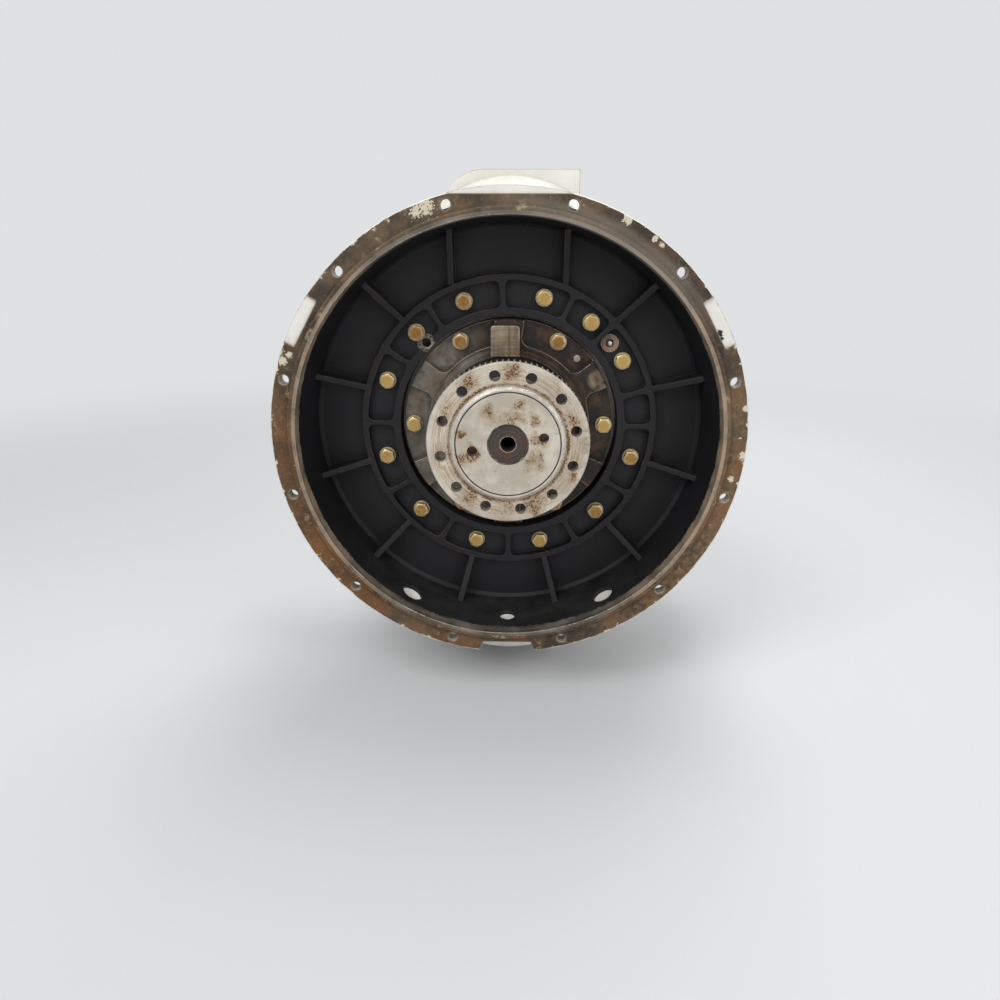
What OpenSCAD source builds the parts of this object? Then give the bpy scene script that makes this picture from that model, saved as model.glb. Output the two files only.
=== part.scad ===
// Marine reverse and reduction gearbox with a bell housing for an engine flywheel housing.
// X points right as seen from the engine, Y runs along the shafts away from the engine, Z is up.
// The origin is the centre of the bell flange on its mating face. Angles run clockwise from the top.

/* [Bell flange] */
// Outside diameter of the bell flange
flange_d = 552.4; // [545:0.1:565]
// Distance of the bolt circle from the edge of the bell flange
flange_edge = 11.1; // [9:0.1:12]
// Number of bolts in the bell flange
flange_bolts = 12; // [6:6:12]
// Diameter of a bolt hole in the bell flange
flange_hole_d = 12; // [10:0.5:14]
// Thickness of the bell flange
flange_t = 18; // [14:1:24]
// Distance of the raised pilot ring from the edge of the bell flange
pilot_inset = 20.6; // [19:0.1:24]
// Width of the pilot ring at the mouth of the bell
pilot_w = 9.1; // [7:0.1:11]
// Height of the pilot ring above the mating face
pilot_h = 6; // [3:0.5:9]
// Depth of the painted recesses in the mating face
recess_t = 3; // [1:0.5:6]
// Drop of the flat that ends the mating face at the top
top_flat_drop = 8.8; // [6:0.2:10]
// Drop of the side recesses from the edge of the flange
side_flat_drop = 14.2; // [10:0.2:16]
// Width of the notch at the foot of the flange
notch_w = 60; // [30:1:90]
// Depth of the notch
notch_depth = 14.2; // [10:0.2:18]

/* [Bell body] */
// Distance from the mating face to the joint with the gear case
bell_depth = 104; // [100:1:112]
// How much the bell narrows on each side from its mouth to its web
bell_draft = 6.5; // [4:0.5:9]
// Thickness of the web under the pockets
web_t = 19.5; // [14:0.5:24]
// Height of the ribs above the pocket floor
rib_h = 10.5; // [6:0.5:14]
// Depth of the outer panels below the rib tops
panel_depth = 14; // [10:1:18]
// Thickness of the outer panels
panel_t = 12; // [8:1:14]
// Thickness of the ribs on the web
rib_w = 7; // [5:0.5:9]
// Room in a pocket between the bolts and its inner wall
pocket_room_in = 16; // [14:0.5:18]
// Room in a pocket between the bolts and its outer wall
pocket_room_out = 15.5; // [14:0.5:18]
// Thickness of the ring rib inside the pockets
inner_rib_w = 9; // [6:0.5:11]
// Thickness of the ring rib outside the pockets
ring_rib_w = 7.5; // [6:0.5:10]
// Corner radius of a pocket
pocket_corner = 6; // [3:0.5:8]
// Thickness of the fins outside the bell
fin_w = 10; // [6:1:14]
// Rise of the flat-topped casting above the bell flange
hump_rise = 19.2; // [14:0.2:24]
// Face of that casting, behind the mating face
hump_y = 60; // [50:1:80]

/* [Bell fasteners] */
// Bolt circle of the joint between bell and gear case
case_pcd = 320; // [316:0.5:324]
// Thread diameter of the case bolts and retainer bolts
m12_d = 12; // [10:1:14]
// Width across flats of their heads
m12_af = 17; // [15:1:18]
// Height of their heads
m12_head = 7.5; // [6:0.5:9]
// Diameter of their washers
m12_washer_d = 21; // [20:0.5:24]
// Thickness of their washers
m12_washer_t = 2.5; // [1:0.5:3]
// Length of thread in the gear case
m12_grip = 16; // [12:1:17]
// Outside diameter of the dowel bush
dowel_bush_d = 22; // [18:1:24]
// Diameter of the dowel pin
dowel_d = 10; // [8:1:14]
// Diameter of the oil hole through the web
oil_hole_d = 11; // [8:0.5:12]
// Diameter of the bare ring round the oil hole
spot_d = 23; // [18:0.5:24]

/* [Input bearing retainer] */
// Room between the retainer and the opening in the web
retainer_room = 4.5; // [2:0.5:8]
// Thickness of the retainer at its bolts
retainer_t = 19; // [14:1:24]
// Distance of the bolt circle from the edge of the retainer
retainer_edge = 11.7; // [11:0.1:13]
// Distance of the hub from the edge of the retainer
retainer_rim_w = 33.5; // [30:0.5:36]
// Height of the hub above the bolt face
retainer_hub_h = 17; // [12:1:24]
// Half the angle that a bolt pad takes up
bolt_pad_turn = 22; // [18:0.5:24]
// Corner radius of a bolt pad
bolt_pad_corner = 11; // [6:0.5:13]
// Height of the spokes between the bolt pads
spoke_h = 9; // [4:0.5:12]
// Width of the lug at the top
lug_w = 34; // [24:1:40]
// Distance of the lug's middle from the centre line
lug_x = -4.7; // [-8:0.1:8]
// Drop of the lug's top edge below the edge of the retainer
lug_drop = 5.9; // [3:0.1:9]
// Length of the lug in front of the bolt face
lug_h = 33; // [20:1:45]

/* [Input flange] */
// Diameter of the input flange
input_flange_d = 187; // [180:1:192]
// Thickness of the input flange
input_flange_t = 16; // [12:1:20]
// Distance of the input flange in front of the mating face
input_flange_y = 18; // [10:1:24]
// Bolt circle of the input flange
input_pcd = 158; // [150:0.5:164]
// Diameter of a bolt hole in the input flange
input_hole_d = 13; // [10:0.5:14]
// Angle of the first bolt hole
input_phase = 19; // [0:1:29]
// Diameter of the raised boss at its foot
input_boss_d = 132; // [120:1:136]
// Height of the raised boss
input_boss_h = 4; // [2:0.5:8]
// Diameter of the hole in front of the shaft
input_eye_d = 48; // [40:1:54]
// Diameter of the hub behind the flange
input_hub_d = 124; // [116:1:128]
// Number of teeth on the toothed ring
tone_teeth = 90; // [72:2:96]
// Depth of the toothed ring from its teeth to its seat
tone_ring_w = 7; // [6:0.5:9]
// Width of the toothed ring
tone_t = 11; // [6:0.5:12]

/* [Gear train] */
// Module of the gears
gear_m = 4.5; // [4.4:0.1:4.6]
// Teeth of each transfer gear
z_transfer = 40; // [38:1:41]
// Teeth of each pinion
z_pinion = 25; // [24:1:26]
// Teeth of the output gear
z_output = 55; // [54:1:56]
// Play between meshing teeth
gear_play = 0.8; // [0.4:0.1:1.2]
// Width of a transfer gear
transfer_w = 36; // [28:1:44]
// Width of a pinion
pinion_w = 60; // [50:1:60]
// Width of the output gear
output_w = 56; // [46:1:58]
// Number of plate pairs in a clutch
plate_pairs = 6; // [4:1:6]
// Thickness of a steel plate
steel_t = 2; // [1.6:0.1:2.2]
// Thickness of a friction plate
friction_t = 2.4; // [2:0.1:2.6]
// Stroke of a clutch piston
piston_stroke = 2.5; // [1.5:0.1:3]

/* [Shafts] */
// Diameter of the input shaft in its flange
input_shaft_d = 76; // [68:1:80]
// Diameter of the input shaft in its front bearing
input_journal_d = 90; // [86:1:92]
// Diameter of the reverse and output shafts in their front bearings
front_journal_d = 80; // [76:1:84]
// Diameter of a clutch shaft inside its drum
drum_seat_d = 96; // [94:1:98]
// Diameter of a clutch shaft inside its pinion
pinion_seat_d = 72; // [68:1:74]
// Diameter of a clutch shaft in its rear bearing
rear_journal_d = 64; // [60:1:66]
// Diameter of the output shaft under its gear
gear_seat_d = 100; // [98:1:106]
// Diameter of the output shaft in its rear bearing
output_journal_d = 96; // [92:1:97]
// Diameter of the output shaft in its flange
output_spline_d = 84; // [78:1:88]
// Thread diameter at the end of the output shaft
output_thread_d = 60; // [52:1:64]

/* [Gear case] */
// Thickness of the case walls
case_wall = 10; // [8:1:12]
// Thickness of the front wall
front_wall = 18; // [17.5:0.5:20]
// Room between the gears and the case
case_room = 11; // [8:1:12]
// Diameter of the front flange of the case
case_flange_d = 372; // [360:1:375]
// Width of the rim that carries the rear cover
rim_w = 14; // [13:1:16]
// Thickness of the rear cover
cover_t = 16; // [14:1:20]
// Thickness of the rear cover gasket
gasket_t = 0.8; // [0.5:0.1:1.2]
// Distance of each mounting pad from the shaft line
pad_x = 290; // [285:1:300]
// Length of a mounting pad
pad_l = 120; // [110:2:130]
// Height of a mounting pad
pad_h = 120; // [110:2:130]
// Thickness of a mounting pad
pad_t = 20; // [16:1:24]
// Spacing of the tapped holes in a mounting pad
pad_hole_pitch = 80; // [70:1:90]
// Thread diameter of the holes in a mounting pad
pad_hole_d = 16; // [12:1:18]

/* [Output flange] */
// Diameter of the output flange
output_flange_d = 205; // [200:1:220]
// Thickness of the output flange
output_flange_t = 18; // [14:1:22]
// Bolt circle of the output flange
output_pcd = 165; // [156:0.5:172]
// Number of bolts in the output flange
output_bolts = 8; // [6:1:10]
// Diameter of a bolt hole in the output flange
output_hole_d = 17; // [13:0.5:18]
// Diameter of the pilot on the output flange
output_pilot_d = 100; // [94:0.5:110]
// Diameter of the output flange's hub
output_hub_d = 120; // [114:1:124]

/* [Oil system] */
// Teeth of a pump gear
z_pump = 14; // [12:1:15]
// Module of the pump gears
pump_m = 3.5; // [3.3:0.1:3.6]
// Width of a pump gear
pump_gear_w = 22; // [16:1:26]
// Diameter of the pump shaft end
pump_shaft_d = 28; // [22:1:30]
// Length of the valve body along X
valve_l = 114; // [106:1:118]
// Width of the valve body along Y
valve_w = 114; // [100:1:118]
// Height of the valve body
valve_h = 60; // [56:1:64]
// Diameter of the selector spool
spool_d = 28; // [22:1:30]
// Length of the selector lever
lever_l = 75; // [60:1:84]
// Diameter of the oil filter
filter_d = 92; // [80:1:94]
// Length of the oil filter
filter_l = 128; // [100:1:140]
// Length of the dipstick below the top of its tube
dipstick_l = 410; // [380:1:420]
// Diameter of the dipstick
dipstick_d = 4; // [3:0.5:5]

/* [Fits] */
// Radial room in a seated fit
seat = 0.02; // [0.01:0.01:0.05]
// Radial room in a running fit
run = 0.05; // [0.03:0.01:0.09]
// Gap between faces that pass each other
gap = 0.3; // [0.2:0.05:0.4]

/* [Hidden] */
$fn = 96;
cut = 1;

// Axes of the three shafts in X and Z
transfer_dist = gear_m * z_transfer;
drop = gear_m * (z_pinion + z_output) / 2;
input_axis = [0, 0];
output_axis = [0, -drop];
swing = 2 * asin(transfer_dist / (2 * drop));
reverse_axis = output_axis + drop * [sin(swing), cos(swing)];

// Diameters and heights of the bell, from its outside to the retainer
flange_pcd = flange_d - 2 * flange_edge;
pilot_d = flange_d - 2 * pilot_inset;
mouth_d = pilot_d - 2 * pilot_w;
root_d = mouth_d - 2 * bell_draft;
top_flat_z = flange_d / 2 - top_flat_drop;
side_flat = flange_d / 2 - side_flat_drop;
notch_z = notch_depth - flange_d / 2;
hump_z = flange_d / 2 + hump_rise;
pocket_d_in = case_pcd - 2 * pocket_room_in;
pocket_d_out = case_pcd + 2 * pocket_room_out;
ring_rib_d = pocket_d_out + 2 * ring_rib_w;
opening_d = pocket_d_in - 2 * inner_rib_w;
retainer_d = opening_d - 2 * retainer_room;
retainer_pcd = retainer_d - 2 * retainer_edge;
retainer_hub_d = retainer_d - 2 * retainer_rim_w;
lug_z = retainer_d / 2 - lug_drop;
plug_pcd = retainer_pcd - 4;
tone_seat_d = input_pcd + input_hole_d + 3;
tone_d = tone_seat_d + 2 * tone_ring_w;

// Stations of the bell and its web along Y
pocket_y = bell_depth - web_t;
rib_y = pocket_y - rib_h;
panel_y = rib_y + panel_depth;
web_back_y = panel_y + panel_t;
retainer_y = bell_depth - retainer_t;
pocket_edges = [-3, 26, 45, 75, 90, 120, 150, 180, 210, 240, 271, 302, 326, 357];
outer_rib_angles = [45, 75, 105, 135, 165, 195, 225, 255, 285, 315];
top_rib_x = [-69.5, 66];
case_bolt_angles = [15, 38, 60, 105, 135, 165, 195, 225, 255, 290, 315, 340];
retainer_bolt_angles = [30 : 60 : 330];
dowel_place = polar(case_pcd / 2 - 1.3, 50.24);
oil_hole_place = polar(case_pcd / 2 - 17.3, -45.17);
spot_t = 0.6;
oil_hole_depth = 12;
hump_left = -30.4;
hump_right = 78;
plug_angle = 45.1;
plug_d = 8;
dowel_depth = 10;

// Stations of the gear train along Y
inner_y = bell_depth + front_wall;
input_bearing_y = bell_depth + 8;
input_bearing_w = 26;
front_bearing_y = bell_depth + 22;
front_bearing_w = 24;
train_y = bell_depth + 52;
drum_web = 12;
sleeve_l = 26;
drum_l = 72;
plates_y = train_y + 27;
pair_pitch = steel_t + friction_t + 2 * gap;
end_plate_t = 8;
snap_t = 3;
drum_room = 8;
joint_room = 14;
pinion_y = train_y + drum_l + drum_room;
output_gear_y = pinion_y + (pinion_w - output_w) / 2;
joint_y = pinion_y + pinion_w + joint_room;
rear_bearing_y = joint_y - 6;
rear_bearing_w = 24;
thrust_t = 5.6;
output_bearing_w = 34;
cover_y = joint_y + gasket_t;
cover_back_y = cover_y + cover_t;
output_boss_y = rear_bearing_y + 36;
carrier_t = 12;
carrier_y = output_boss_y;
output_flange_y = output_boss_y + 46;
output_lip_y = output_flange_y + 8;
output_lip_t = 6;
output_pilot_h = 5;
output_end_y = output_flange_y + output_flange_t;

// Clutch drums
drum_d = gear_m * (z_transfer - 2.5) - 1;
drum_bore = 150.6;
sleeve_d = drum_seat_d + 8;
hub_d = 105;
bush_d = pinion_seat_d + 8;

// Rolling bearings: inner ring, race and outer ring diameters
input_bearing = [input_journal_d, 104, 124, 140];
front_bearing = [front_journal_d, 92, 106, 120];
rear_bearing = [rear_journal_d, 76, 90.8, 104];
output_bearing = [output_journal_d, 114, 136, 160];

// Outline of the gear case, as circles about the shafts
clutch_room = gear_m * (z_transfer + 2) / 2 + case_room;
gear_room = gear_m * (z_output + 2) / 2 + case_room - 3;
case_lobes = [
    [input_axis, clutch_room + case_wall],
    [output_axis, gear_room + case_wall],
    [reverse_axis, clutch_room + case_wall]
];
rim_t = 16;
rim_bolt_grow = 3;
m10_d = 10;
m10_af = 17;
m10_head = 6.5;
m10_grip = 14;
arc_steps = 30;
bolt_steps = 4;

// Valve, filter and lever
valve_x = -42;
valve_y = train_y + 10;
valve_z = 124;
valve_cover_t = 12;
spool_y = valve_y + valve_w / 2;
spool_z = valve_z + valve_h / 2;
spool_l = 92;
spool_end_d = spool_d - 11;
spool_boss_d = 44;
spool_boss_l = 10;
lever_t = 14;
filter_z = valve_z + 36;
adapter_d = 80;
adapter_l = 10;

// Oil pump
pump_y = rear_bearing_y + 28;
pump_plate_t = 12;
pump_wall = 10;
pump_cover_t = 12;
pump_plate_d = 140;
pump_bolt_pcd = 122;
pump_dist = pump_m * z_pump;
idler_axis = reverse_axis + [0, pump_dist];
pump_tip_d = pump_m * (z_pump + 2);
pump_body_r = pump_tip_d / 2 + 18;
pump_gear_y = pump_y + pump_wall;
pump_cover_y = pump_gear_y + pump_gear_w + gap * 2;
idler_pin_d = 22;
idler_pin_l = 8;
pump_lobes = [[reverse_axis, pump_body_r], [idler_axis, pump_body_r]];
m8_d = 8;
m8_af = 13;
m8_head = 5.3;

// Dipstick, breather, plugs and lifting eyes
dipstick_x = -75;
dipstick_y = joint_y - 12.5;
tube_top_z = 170;
tube_bottom_z = 86;
tube_d = 14;
tube_bore = 9;
tube_boss_z = 112;
drain_y = train_y + 70;
drain_d = 22;
eye_places = [[-72, bell_depth + 40, 105], [104, joint_y - 40, 86]];
eye_shank_d = 16;
eye_ring_d = 40;
eye_bar_d = 11;

// A bar along Y.
module rod(y0, y1, d) {
    translate([0, y1, 0]) rotate([90, 0, 0]) cylinder(h = y1 - y0, d = d);
}

// A ring along Y.
module ring(y0, y1, d_out, d_in) {
    difference() {
        rod(y0, y1, d_out);
        rod(y0 - cut, y1 + cut, d_in);
    }
}

// A prism along Y whose outline is drawn in X and Z.
module slab(y0, y1) {
    translate([0, y1, 0]) rotate([90, 0, 0]) linear_extrude(y1 - y0) children();
}

// A plate across X, centred, whose outline is drawn in Y and Z.
module fin(t) {
    rotate([90, 0, 90]) translate([0, 0, -t / 2]) linear_extrude(t) children();
}

// A round body about Y whose section is drawn in radius and Y.
module turned() {
    rotate([-90, 0, 0]) rotate_extrude() children();
}

// Points of an arc in X and Z, from one clockwise angle to another.
function arc(centre, r, a0, a1, steps) = [
    for (k = [0 : steps])
        let (a = a0 + (a1 - a0) * k / steps)
        centre + r * [sin(a), cos(a)]
];

// Outline of a recess between two radii and two angles, with round corners.
function ring_recess(r0, r1, a0, a1, c) =
    let (
        in_turn = asin(c / (r0 + c)),
        out_turn = asin(c / (r1 - c)),
        steps = ceil((a1 - a0) / 3),
        corner_steps = 5
    )
    concat(
        arc([0, 0], r0, a0 + in_turn, a1 - in_turn, steps),
        arc(polar(r0 + c, a1 - in_turn), c, a1 - in_turn + 180, a1 + 90, corner_steps),
        arc(polar(r1 - c, a1 - out_turn), c, a1 + 90, a1 - out_turn, corner_steps),
        arc([0, 0], r1, a1 - out_turn, a0 + out_turn, steps),
        arc(polar(r1 - c, a0 + out_turn), c, a0 + out_turn, a0 - 90, corner_steps),
        arc(polar(r0 + c, a0 + in_turn), c, a0 - 90, a0 + in_turn - 180, corner_steps)
    );

// A point in X and Z at a radius and a clockwise angle.
function polar(r, a) = r * [sin(a), cos(a)];

// Moves the children to a shaft axis.
module on_axis(axis) {
    translate([axis[0], 0, axis[1]]) children();
}

// Repeats the children on a circle about Y.
module around(d, angles) {
    for (a = angles)
        rotate([0, a, 0]) translate([0, 0, d / 2]) children();
}

// Evenly spaced angles.
function even(n, start = 0) = [for (i = [0 : n - 1]) start + i * 360 / n];

// A hexagon along Y, given across its flats.
module hex(y0, y1, af) {
    translate([0, y1, 0]) rotate([90, 0, 0]) cylinder(h = y1 - y0, d = af / cos(30), $fn = 6);
}

// A bolt with a washer. Its seat is at Y = 0 and its thread points to +Y.
module bolt(d, l, af, head, washer_d, washer_t) {
    rod(-washer_t, l, d);
    rod(-washer_t, 0, washer_d);
    hex(-washer_t - head, -washer_t, af);
}

// The larger bolts of the bell and the retainer.
module m12_bolt(l) {
    bolt(m12_d, l, m12_af, m12_head, m12_washer_d, m12_washer_t);
}

// Angle of the line that touches two circles on the outside, seen from the first one.
function touch(c0, c1) =
    let (v = c1[0] - c0[0])
    atan2(v[1], v[0]) - acos((c0[1] - c1[1]) / norm(v));

// Outline round a list of circles, grown by a margin, with the points of each arc.
function outline(lobes, grow, steps) = [
    for (i = [0 : len(lobes) - 1])
        let (
            before = lobes[(i + len(lobes) - 1) % len(lobes)],
            after = lobes[(i + 1) % len(lobes)],
            a0 = touch(before, lobes[i]),
            turn = (touch(lobes[i], after) - a0 + 720) % 360
        )
        for (k = [0 : steps])
            let (a = a0 + turn * k / steps)
            lobes[i][0] + (lobes[i][1] + grow) * [cos(a), sin(a)]
];

// Middles of the straight runs of an outline.
function run_middles(lobes, grow) =
    let (p = outline(lobes, grow, 1))
    [for (i = [0 : len(lobes) - 1]) (p[2 * i + 1] + p[(2 * i + 2) % len(p)]) / 2];

// Places of the bolts round the rear cover, in X and Z
cover_bolt_places = concat(
    outline(case_lobes, rim_bolt_grow, bolt_steps),
    run_middles(case_lobes, rim_bolt_grow)
);

// Involute of an angle, in degrees.
function inv(a) = tan(a) * 180 / PI - a;

// Half the thickness of a tooth at a radius, as an angle.
function tooth_half(r, m, z, play) =
    let (rp = m * z / 2, rb = rp * cos(20), at = acos(min(1, rb / max(r, rb))))
    90 / z - (play / 4) / rp * 180 / PI + inv(20) - inv(at);

// Outline of a spur gear with a tooth at the given angle.
function gear_outline(m, z, play, phase) =
    let (rp = m * z / 2, radii = [rp - 1.25 * m, rp, rp + m])
    [
        for (k = [0 : z - 1])
            for (side = [-1, 1])
                for (i = side < 0 ? [0, 1, 2] : [2, 1, 0])
                    let (a = phase + k * 360 / z + side * tooth_half(radii[i], m, z, play))
                    radii[i] * [sin(a), cos(a)]
    ];

// Angle of a tooth on a gear that meshes with a driver, for the line from driver to gear.
function mesh_phase(line, z_driver, driver_phase, z) =
    let (step = 360 / z, p = 0.5 - (line - driver_phase) * z_driver / 360)
    line + 180 - p * step;

// A toothed disc along Y.
module gear(y0, y1, m, z, play, phase) {
    slab(y0, y1) polygon(gear_outline(m, z, play, phase));
}

// Phases of the gears
transfer_line = atan2(reverse_axis[0], reverse_axis[1]);
reverse_transfer_phase = mesh_phase(transfer_line, z_transfer, 0, z_transfer);
output_gear_phase = mesh_phase(180, z_pinion, 0, z_output);
astern_pinion_phase = mesh_phase(swing, z_output, output_gear_phase, z_pinion);
idler_phase = mesh_phase(0, z_pump, 0, z_pump);

// Outer wall of the bell with its flange and pilot, still full inside
module bell_outside() {
    turned() polygon([
        [0, -pilot_h], [pilot_d / 2 - 1.5, -pilot_h], [pilot_d / 2, 1.5 - pilot_h], [pilot_d / 2, 0],
        [flange_d / 2 - 1, 0], [flange_d / 2, 1], [flange_d / 2, flange_t], [flange_d / 2 - 14, flange_t],
        [root_d / 2 + 12, web_back_y - 8], [root_d / 2 + 6, web_back_y], [case_flange_d / 2 + 2, web_back_y],
        [case_flange_d / 2 + 2, bell_depth], [0, bell_depth]
    ]);
    around(0, [for (a = [30 : 30 : 330]) a]) fin(fin_w) polygon([
        [flange_t - cut, root_d / 2], [flange_t - cut, flange_d / 2 - 4],
        [web_back_y - 4, root_d / 2 + 14], [web_back_y - 4, root_d / 2]
    ]);
    bell_hump();
}

// The casting that shows above the flange, with the ramp in front of it
module bell_hump() {
    shoulder_r = 45;
    foot_z = root_d / 2 - 10;
    ramp_z = flange_d / 2 - 114.2;
    slab(hump_y, bell_depth) polygon(concat(
        [[hump_right, foot_z], [hump_left - shoulder_r, foot_z]],
        arc([hump_left, hump_z - shoulder_r], shoulder_r, 270, 360, 12),
        [[hump_right, hump_z]]
    ));
    intersection() {
        translate([2, 0, ramp_z]) turned() polygon([
            [0, flange_t - cut], [flange_d / 2 - ramp_z - 3, flange_t - cut],
            [hump_z - ramp_z - 6, hump_y], [hump_z - ramp_z - 6, hump_y + 4], [0, hump_y + 4]
        ]);
        translate([-flange_d / 2, 0, foot_z]) cube([flange_d, bell_depth, hump_z]);
    }
}

// Hollows in the back of that casting
module hump_hollows() {
    wall = 9;
    floor_z = root_d / 2 + 19;
    back_y = hump_y + 14;
    for (x = [[hump_left - 14, 16], [24, hump_right - wall]])
        translate([x[0], back_y, floor_z])
            cube([x[1] - x[0], bell_depth - back_y + cut, hump_z - wall - floor_z]);
}

// The space inside the bell
module bell_cavity() {
    turned() polygon([
        [0, -pilot_h - cut], [mouth_d / 2, -pilot_h - cut], [root_d / 2, panel_y - 4],
        [root_d / 2 - 4, panel_y], [ring_rib_d / 2, panel_y], [ring_rib_d / 2, rib_y],
        [opening_d / 2, rib_y], [opening_d / 2, bell_depth + cut], [0, bell_depth + cut]
    ]);
}

// One pocket of the web
module pocket(a0, a1) {
    slab(rib_y - cut, pocket_y)
        polygon(ring_recess(pocket_d_in / 2, pocket_d_out / 2, a0, a1, pocket_corner));
}

// Ribs in the outer panels of the web, deeper towards the wall
module outer_ribs() {
    rib_rise = 16;
    r0 = ring_rib_d / 2 - 3;
    r1 = root_d / 2 + 2;
    section = [[rib_y, r0], [rib_y - rib_rise, r1], [panel_y + 2, r1], [panel_y + 2, r0]];
    around(0, outer_rib_angles) fin(rib_w) polygon(section);
    for (x = top_rib_x)
        translate([x, 0, -10]) fin(rib_w) polygon(section);
}

// Recesses of the mating face and the notch at its foot
module flange_recesses() {
    side_l = 58;
    side_h = 62;
    side_end_z = side_flat / 2 - 26;
    top_flat_w = 200;
    translate([-top_flat_w / 2, -cut, top_flat_z]) cube([top_flat_w, recess_t + cut, top_flat_drop * 2]);
    for (s = [-1, 1])
        intersection() {
            rotate([0, s * 60, 0]) translate([-side_l / 2, -cut, side_flat])
                cube([side_l, recess_t + cut, 30]);
            translate([-flange_d, -cut, side_end_z]) cube([2 * flange_d, recess_t + 2 * cut, side_h]);
        }
    slab(-pilot_h - cut, flange_t + cut) polygon([
        [-notch_w / 2 - 6, -flange_d / 2 - 2], [-notch_w / 2, notch_z],
        [notch_w / 2, notch_z], [notch_w / 2 + 6, -flange_d / 2 - 2]
    ]);
}

module bell_housing() {
    pocket_inset = 1.1;
    drain_z = -root_d / 2 - 40;
    color("#3a4048") difference() {
        union() {
            difference() {
                bell_outside();
                bell_cavity();
                for (i = [0 : len(pocket_edges) - 2])
                    pocket(pocket_edges[i] + pocket_inset, pocket_edges[i + 1] - pocket_inset);
            }
            outer_ribs();
        }
        flange_recesses();
        hump_hollows();
        around(flange_pcd, even(flange_bolts, 180 / flange_bolts)) rod(-cut, flange_t + cut, flange_hole_d);
        around(case_pcd, case_bolt_angles) rod(rib_y, bell_depth + cut, m12_d + 1.2);
        on_axis(dowel_place) rod(rib_y - cut, bell_depth + cut, dowel_bush_d + 2 * seat);
        on_axis(oil_hole_place) rod(rib_y - cut, pocket_y + spot_t, spot_d);
        on_axis(oil_hole_place) rod(pocket_y, bell_depth + cut, oil_hole_d);
        translate([0, 37, drain_z]) cylinder(h = 60, d = 20);
        for (a = [-150, 150])
            rotate([0, a + 180, 0]) translate([0, 34, drain_z]) cylinder(h = 60, d = 27);
    }
}

module bell_bolts() {
    color("#c9a24a") around(case_pcd, case_bolt_angles)
        translate([0, pocket_y, 0]) m12_bolt(web_t + m12_grip);
}

module dowel_bush() {
    color("#8a8478") on_axis(dowel_place)
        ring(pocket_y - 2, bell_depth + dowel_depth, dowel_bush_d, dowel_d + 2 * seat);
}

module dowel_pin() {
    tip_y = pocket_y - 5;
    color("#c8c4b8") on_axis(dowel_place) turned() polygon([
        [0, tip_y], [dowel_d / 4, tip_y + 0.6], [dowel_d / 2 - 1, tip_y + 2.2], [dowel_d / 2, tip_y + 4],
        [dowel_d / 2, bell_depth + dowel_depth], [0, bell_depth + dowel_depth]
    ]);
}

// The outline of the gear case, grown or shrunk, along Y
module case_prism(y0, y1, grow) {
    slab(y0, y1) polygon(outline(case_lobes, grow, arc_steps));
}

// A mounting pad on one side, carried by three gussets
module case_pad(side, z, root_x) {
    pad_y = train_y + 8;
    gusset_t = 12;
    face = side * pad_x;
    back = side * (pad_x - pad_t);
    translate([min(face, back), pad_y, z - pad_h / 2]) cube([pad_t, pad_l, pad_h]);
    for (y = [0, (pad_l - gusset_t) / 2, pad_l - gusset_t])
        slab(pad_y + y, pad_y + y + gusset_t) polygon([
            [back + side, z + pad_h / 2 - 4], [back + side, z - pad_h / 2 + 4],
            [root_x, z - pad_h / 2 - 20], [root_x, z + pad_h / 2 + 14]
        ]);
}

// Ribs along the outside of the case, as angles about each shaft
case_rib_angles = [[285, 318], [160, 198, 236], [42, 138]];
module case_ribs() {
    rib_t = 9;
    rib_rise = 8;
    y0 = bell_depth + 6;
    for (i = [0 : len(case_lobes) - 1])
        on_axis(case_lobes[i][0])
            for (a = case_rib_angles[i])
                rotate([0, a, 0]) translate([-rib_t / 2, y0, case_lobes[i][1] - 3])
                    cube([rib_t, joint_y - rim_t - y0 + cut, rib_rise + 3]);
}

// Bosses round the bolts of the rear cover
cover_boss_d = 29;
module cover_bosses(y0, y1) {
    for (p = cover_bolt_places)
        on_axis(p) rod(y0, y1, cover_boss_d);
}

// Tapped holes of a mounting pad
module pad_holes(side, z) {
    pad_y = train_y + 8 + pad_l / 2;
    pad_hole_depth = pad_t - 3;
    for (dy = [-1, 1], dz = [-1, 1])
        translate([side * (pad_x + 1), pad_y + dy * pad_hole_pitch / 2, z + dz * pad_hole_pitch / 2])
            rotate([0, -side * 90, 0]) cylinder(h = pad_hole_depth + 1, d = pad_hole_d);
}

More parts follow.
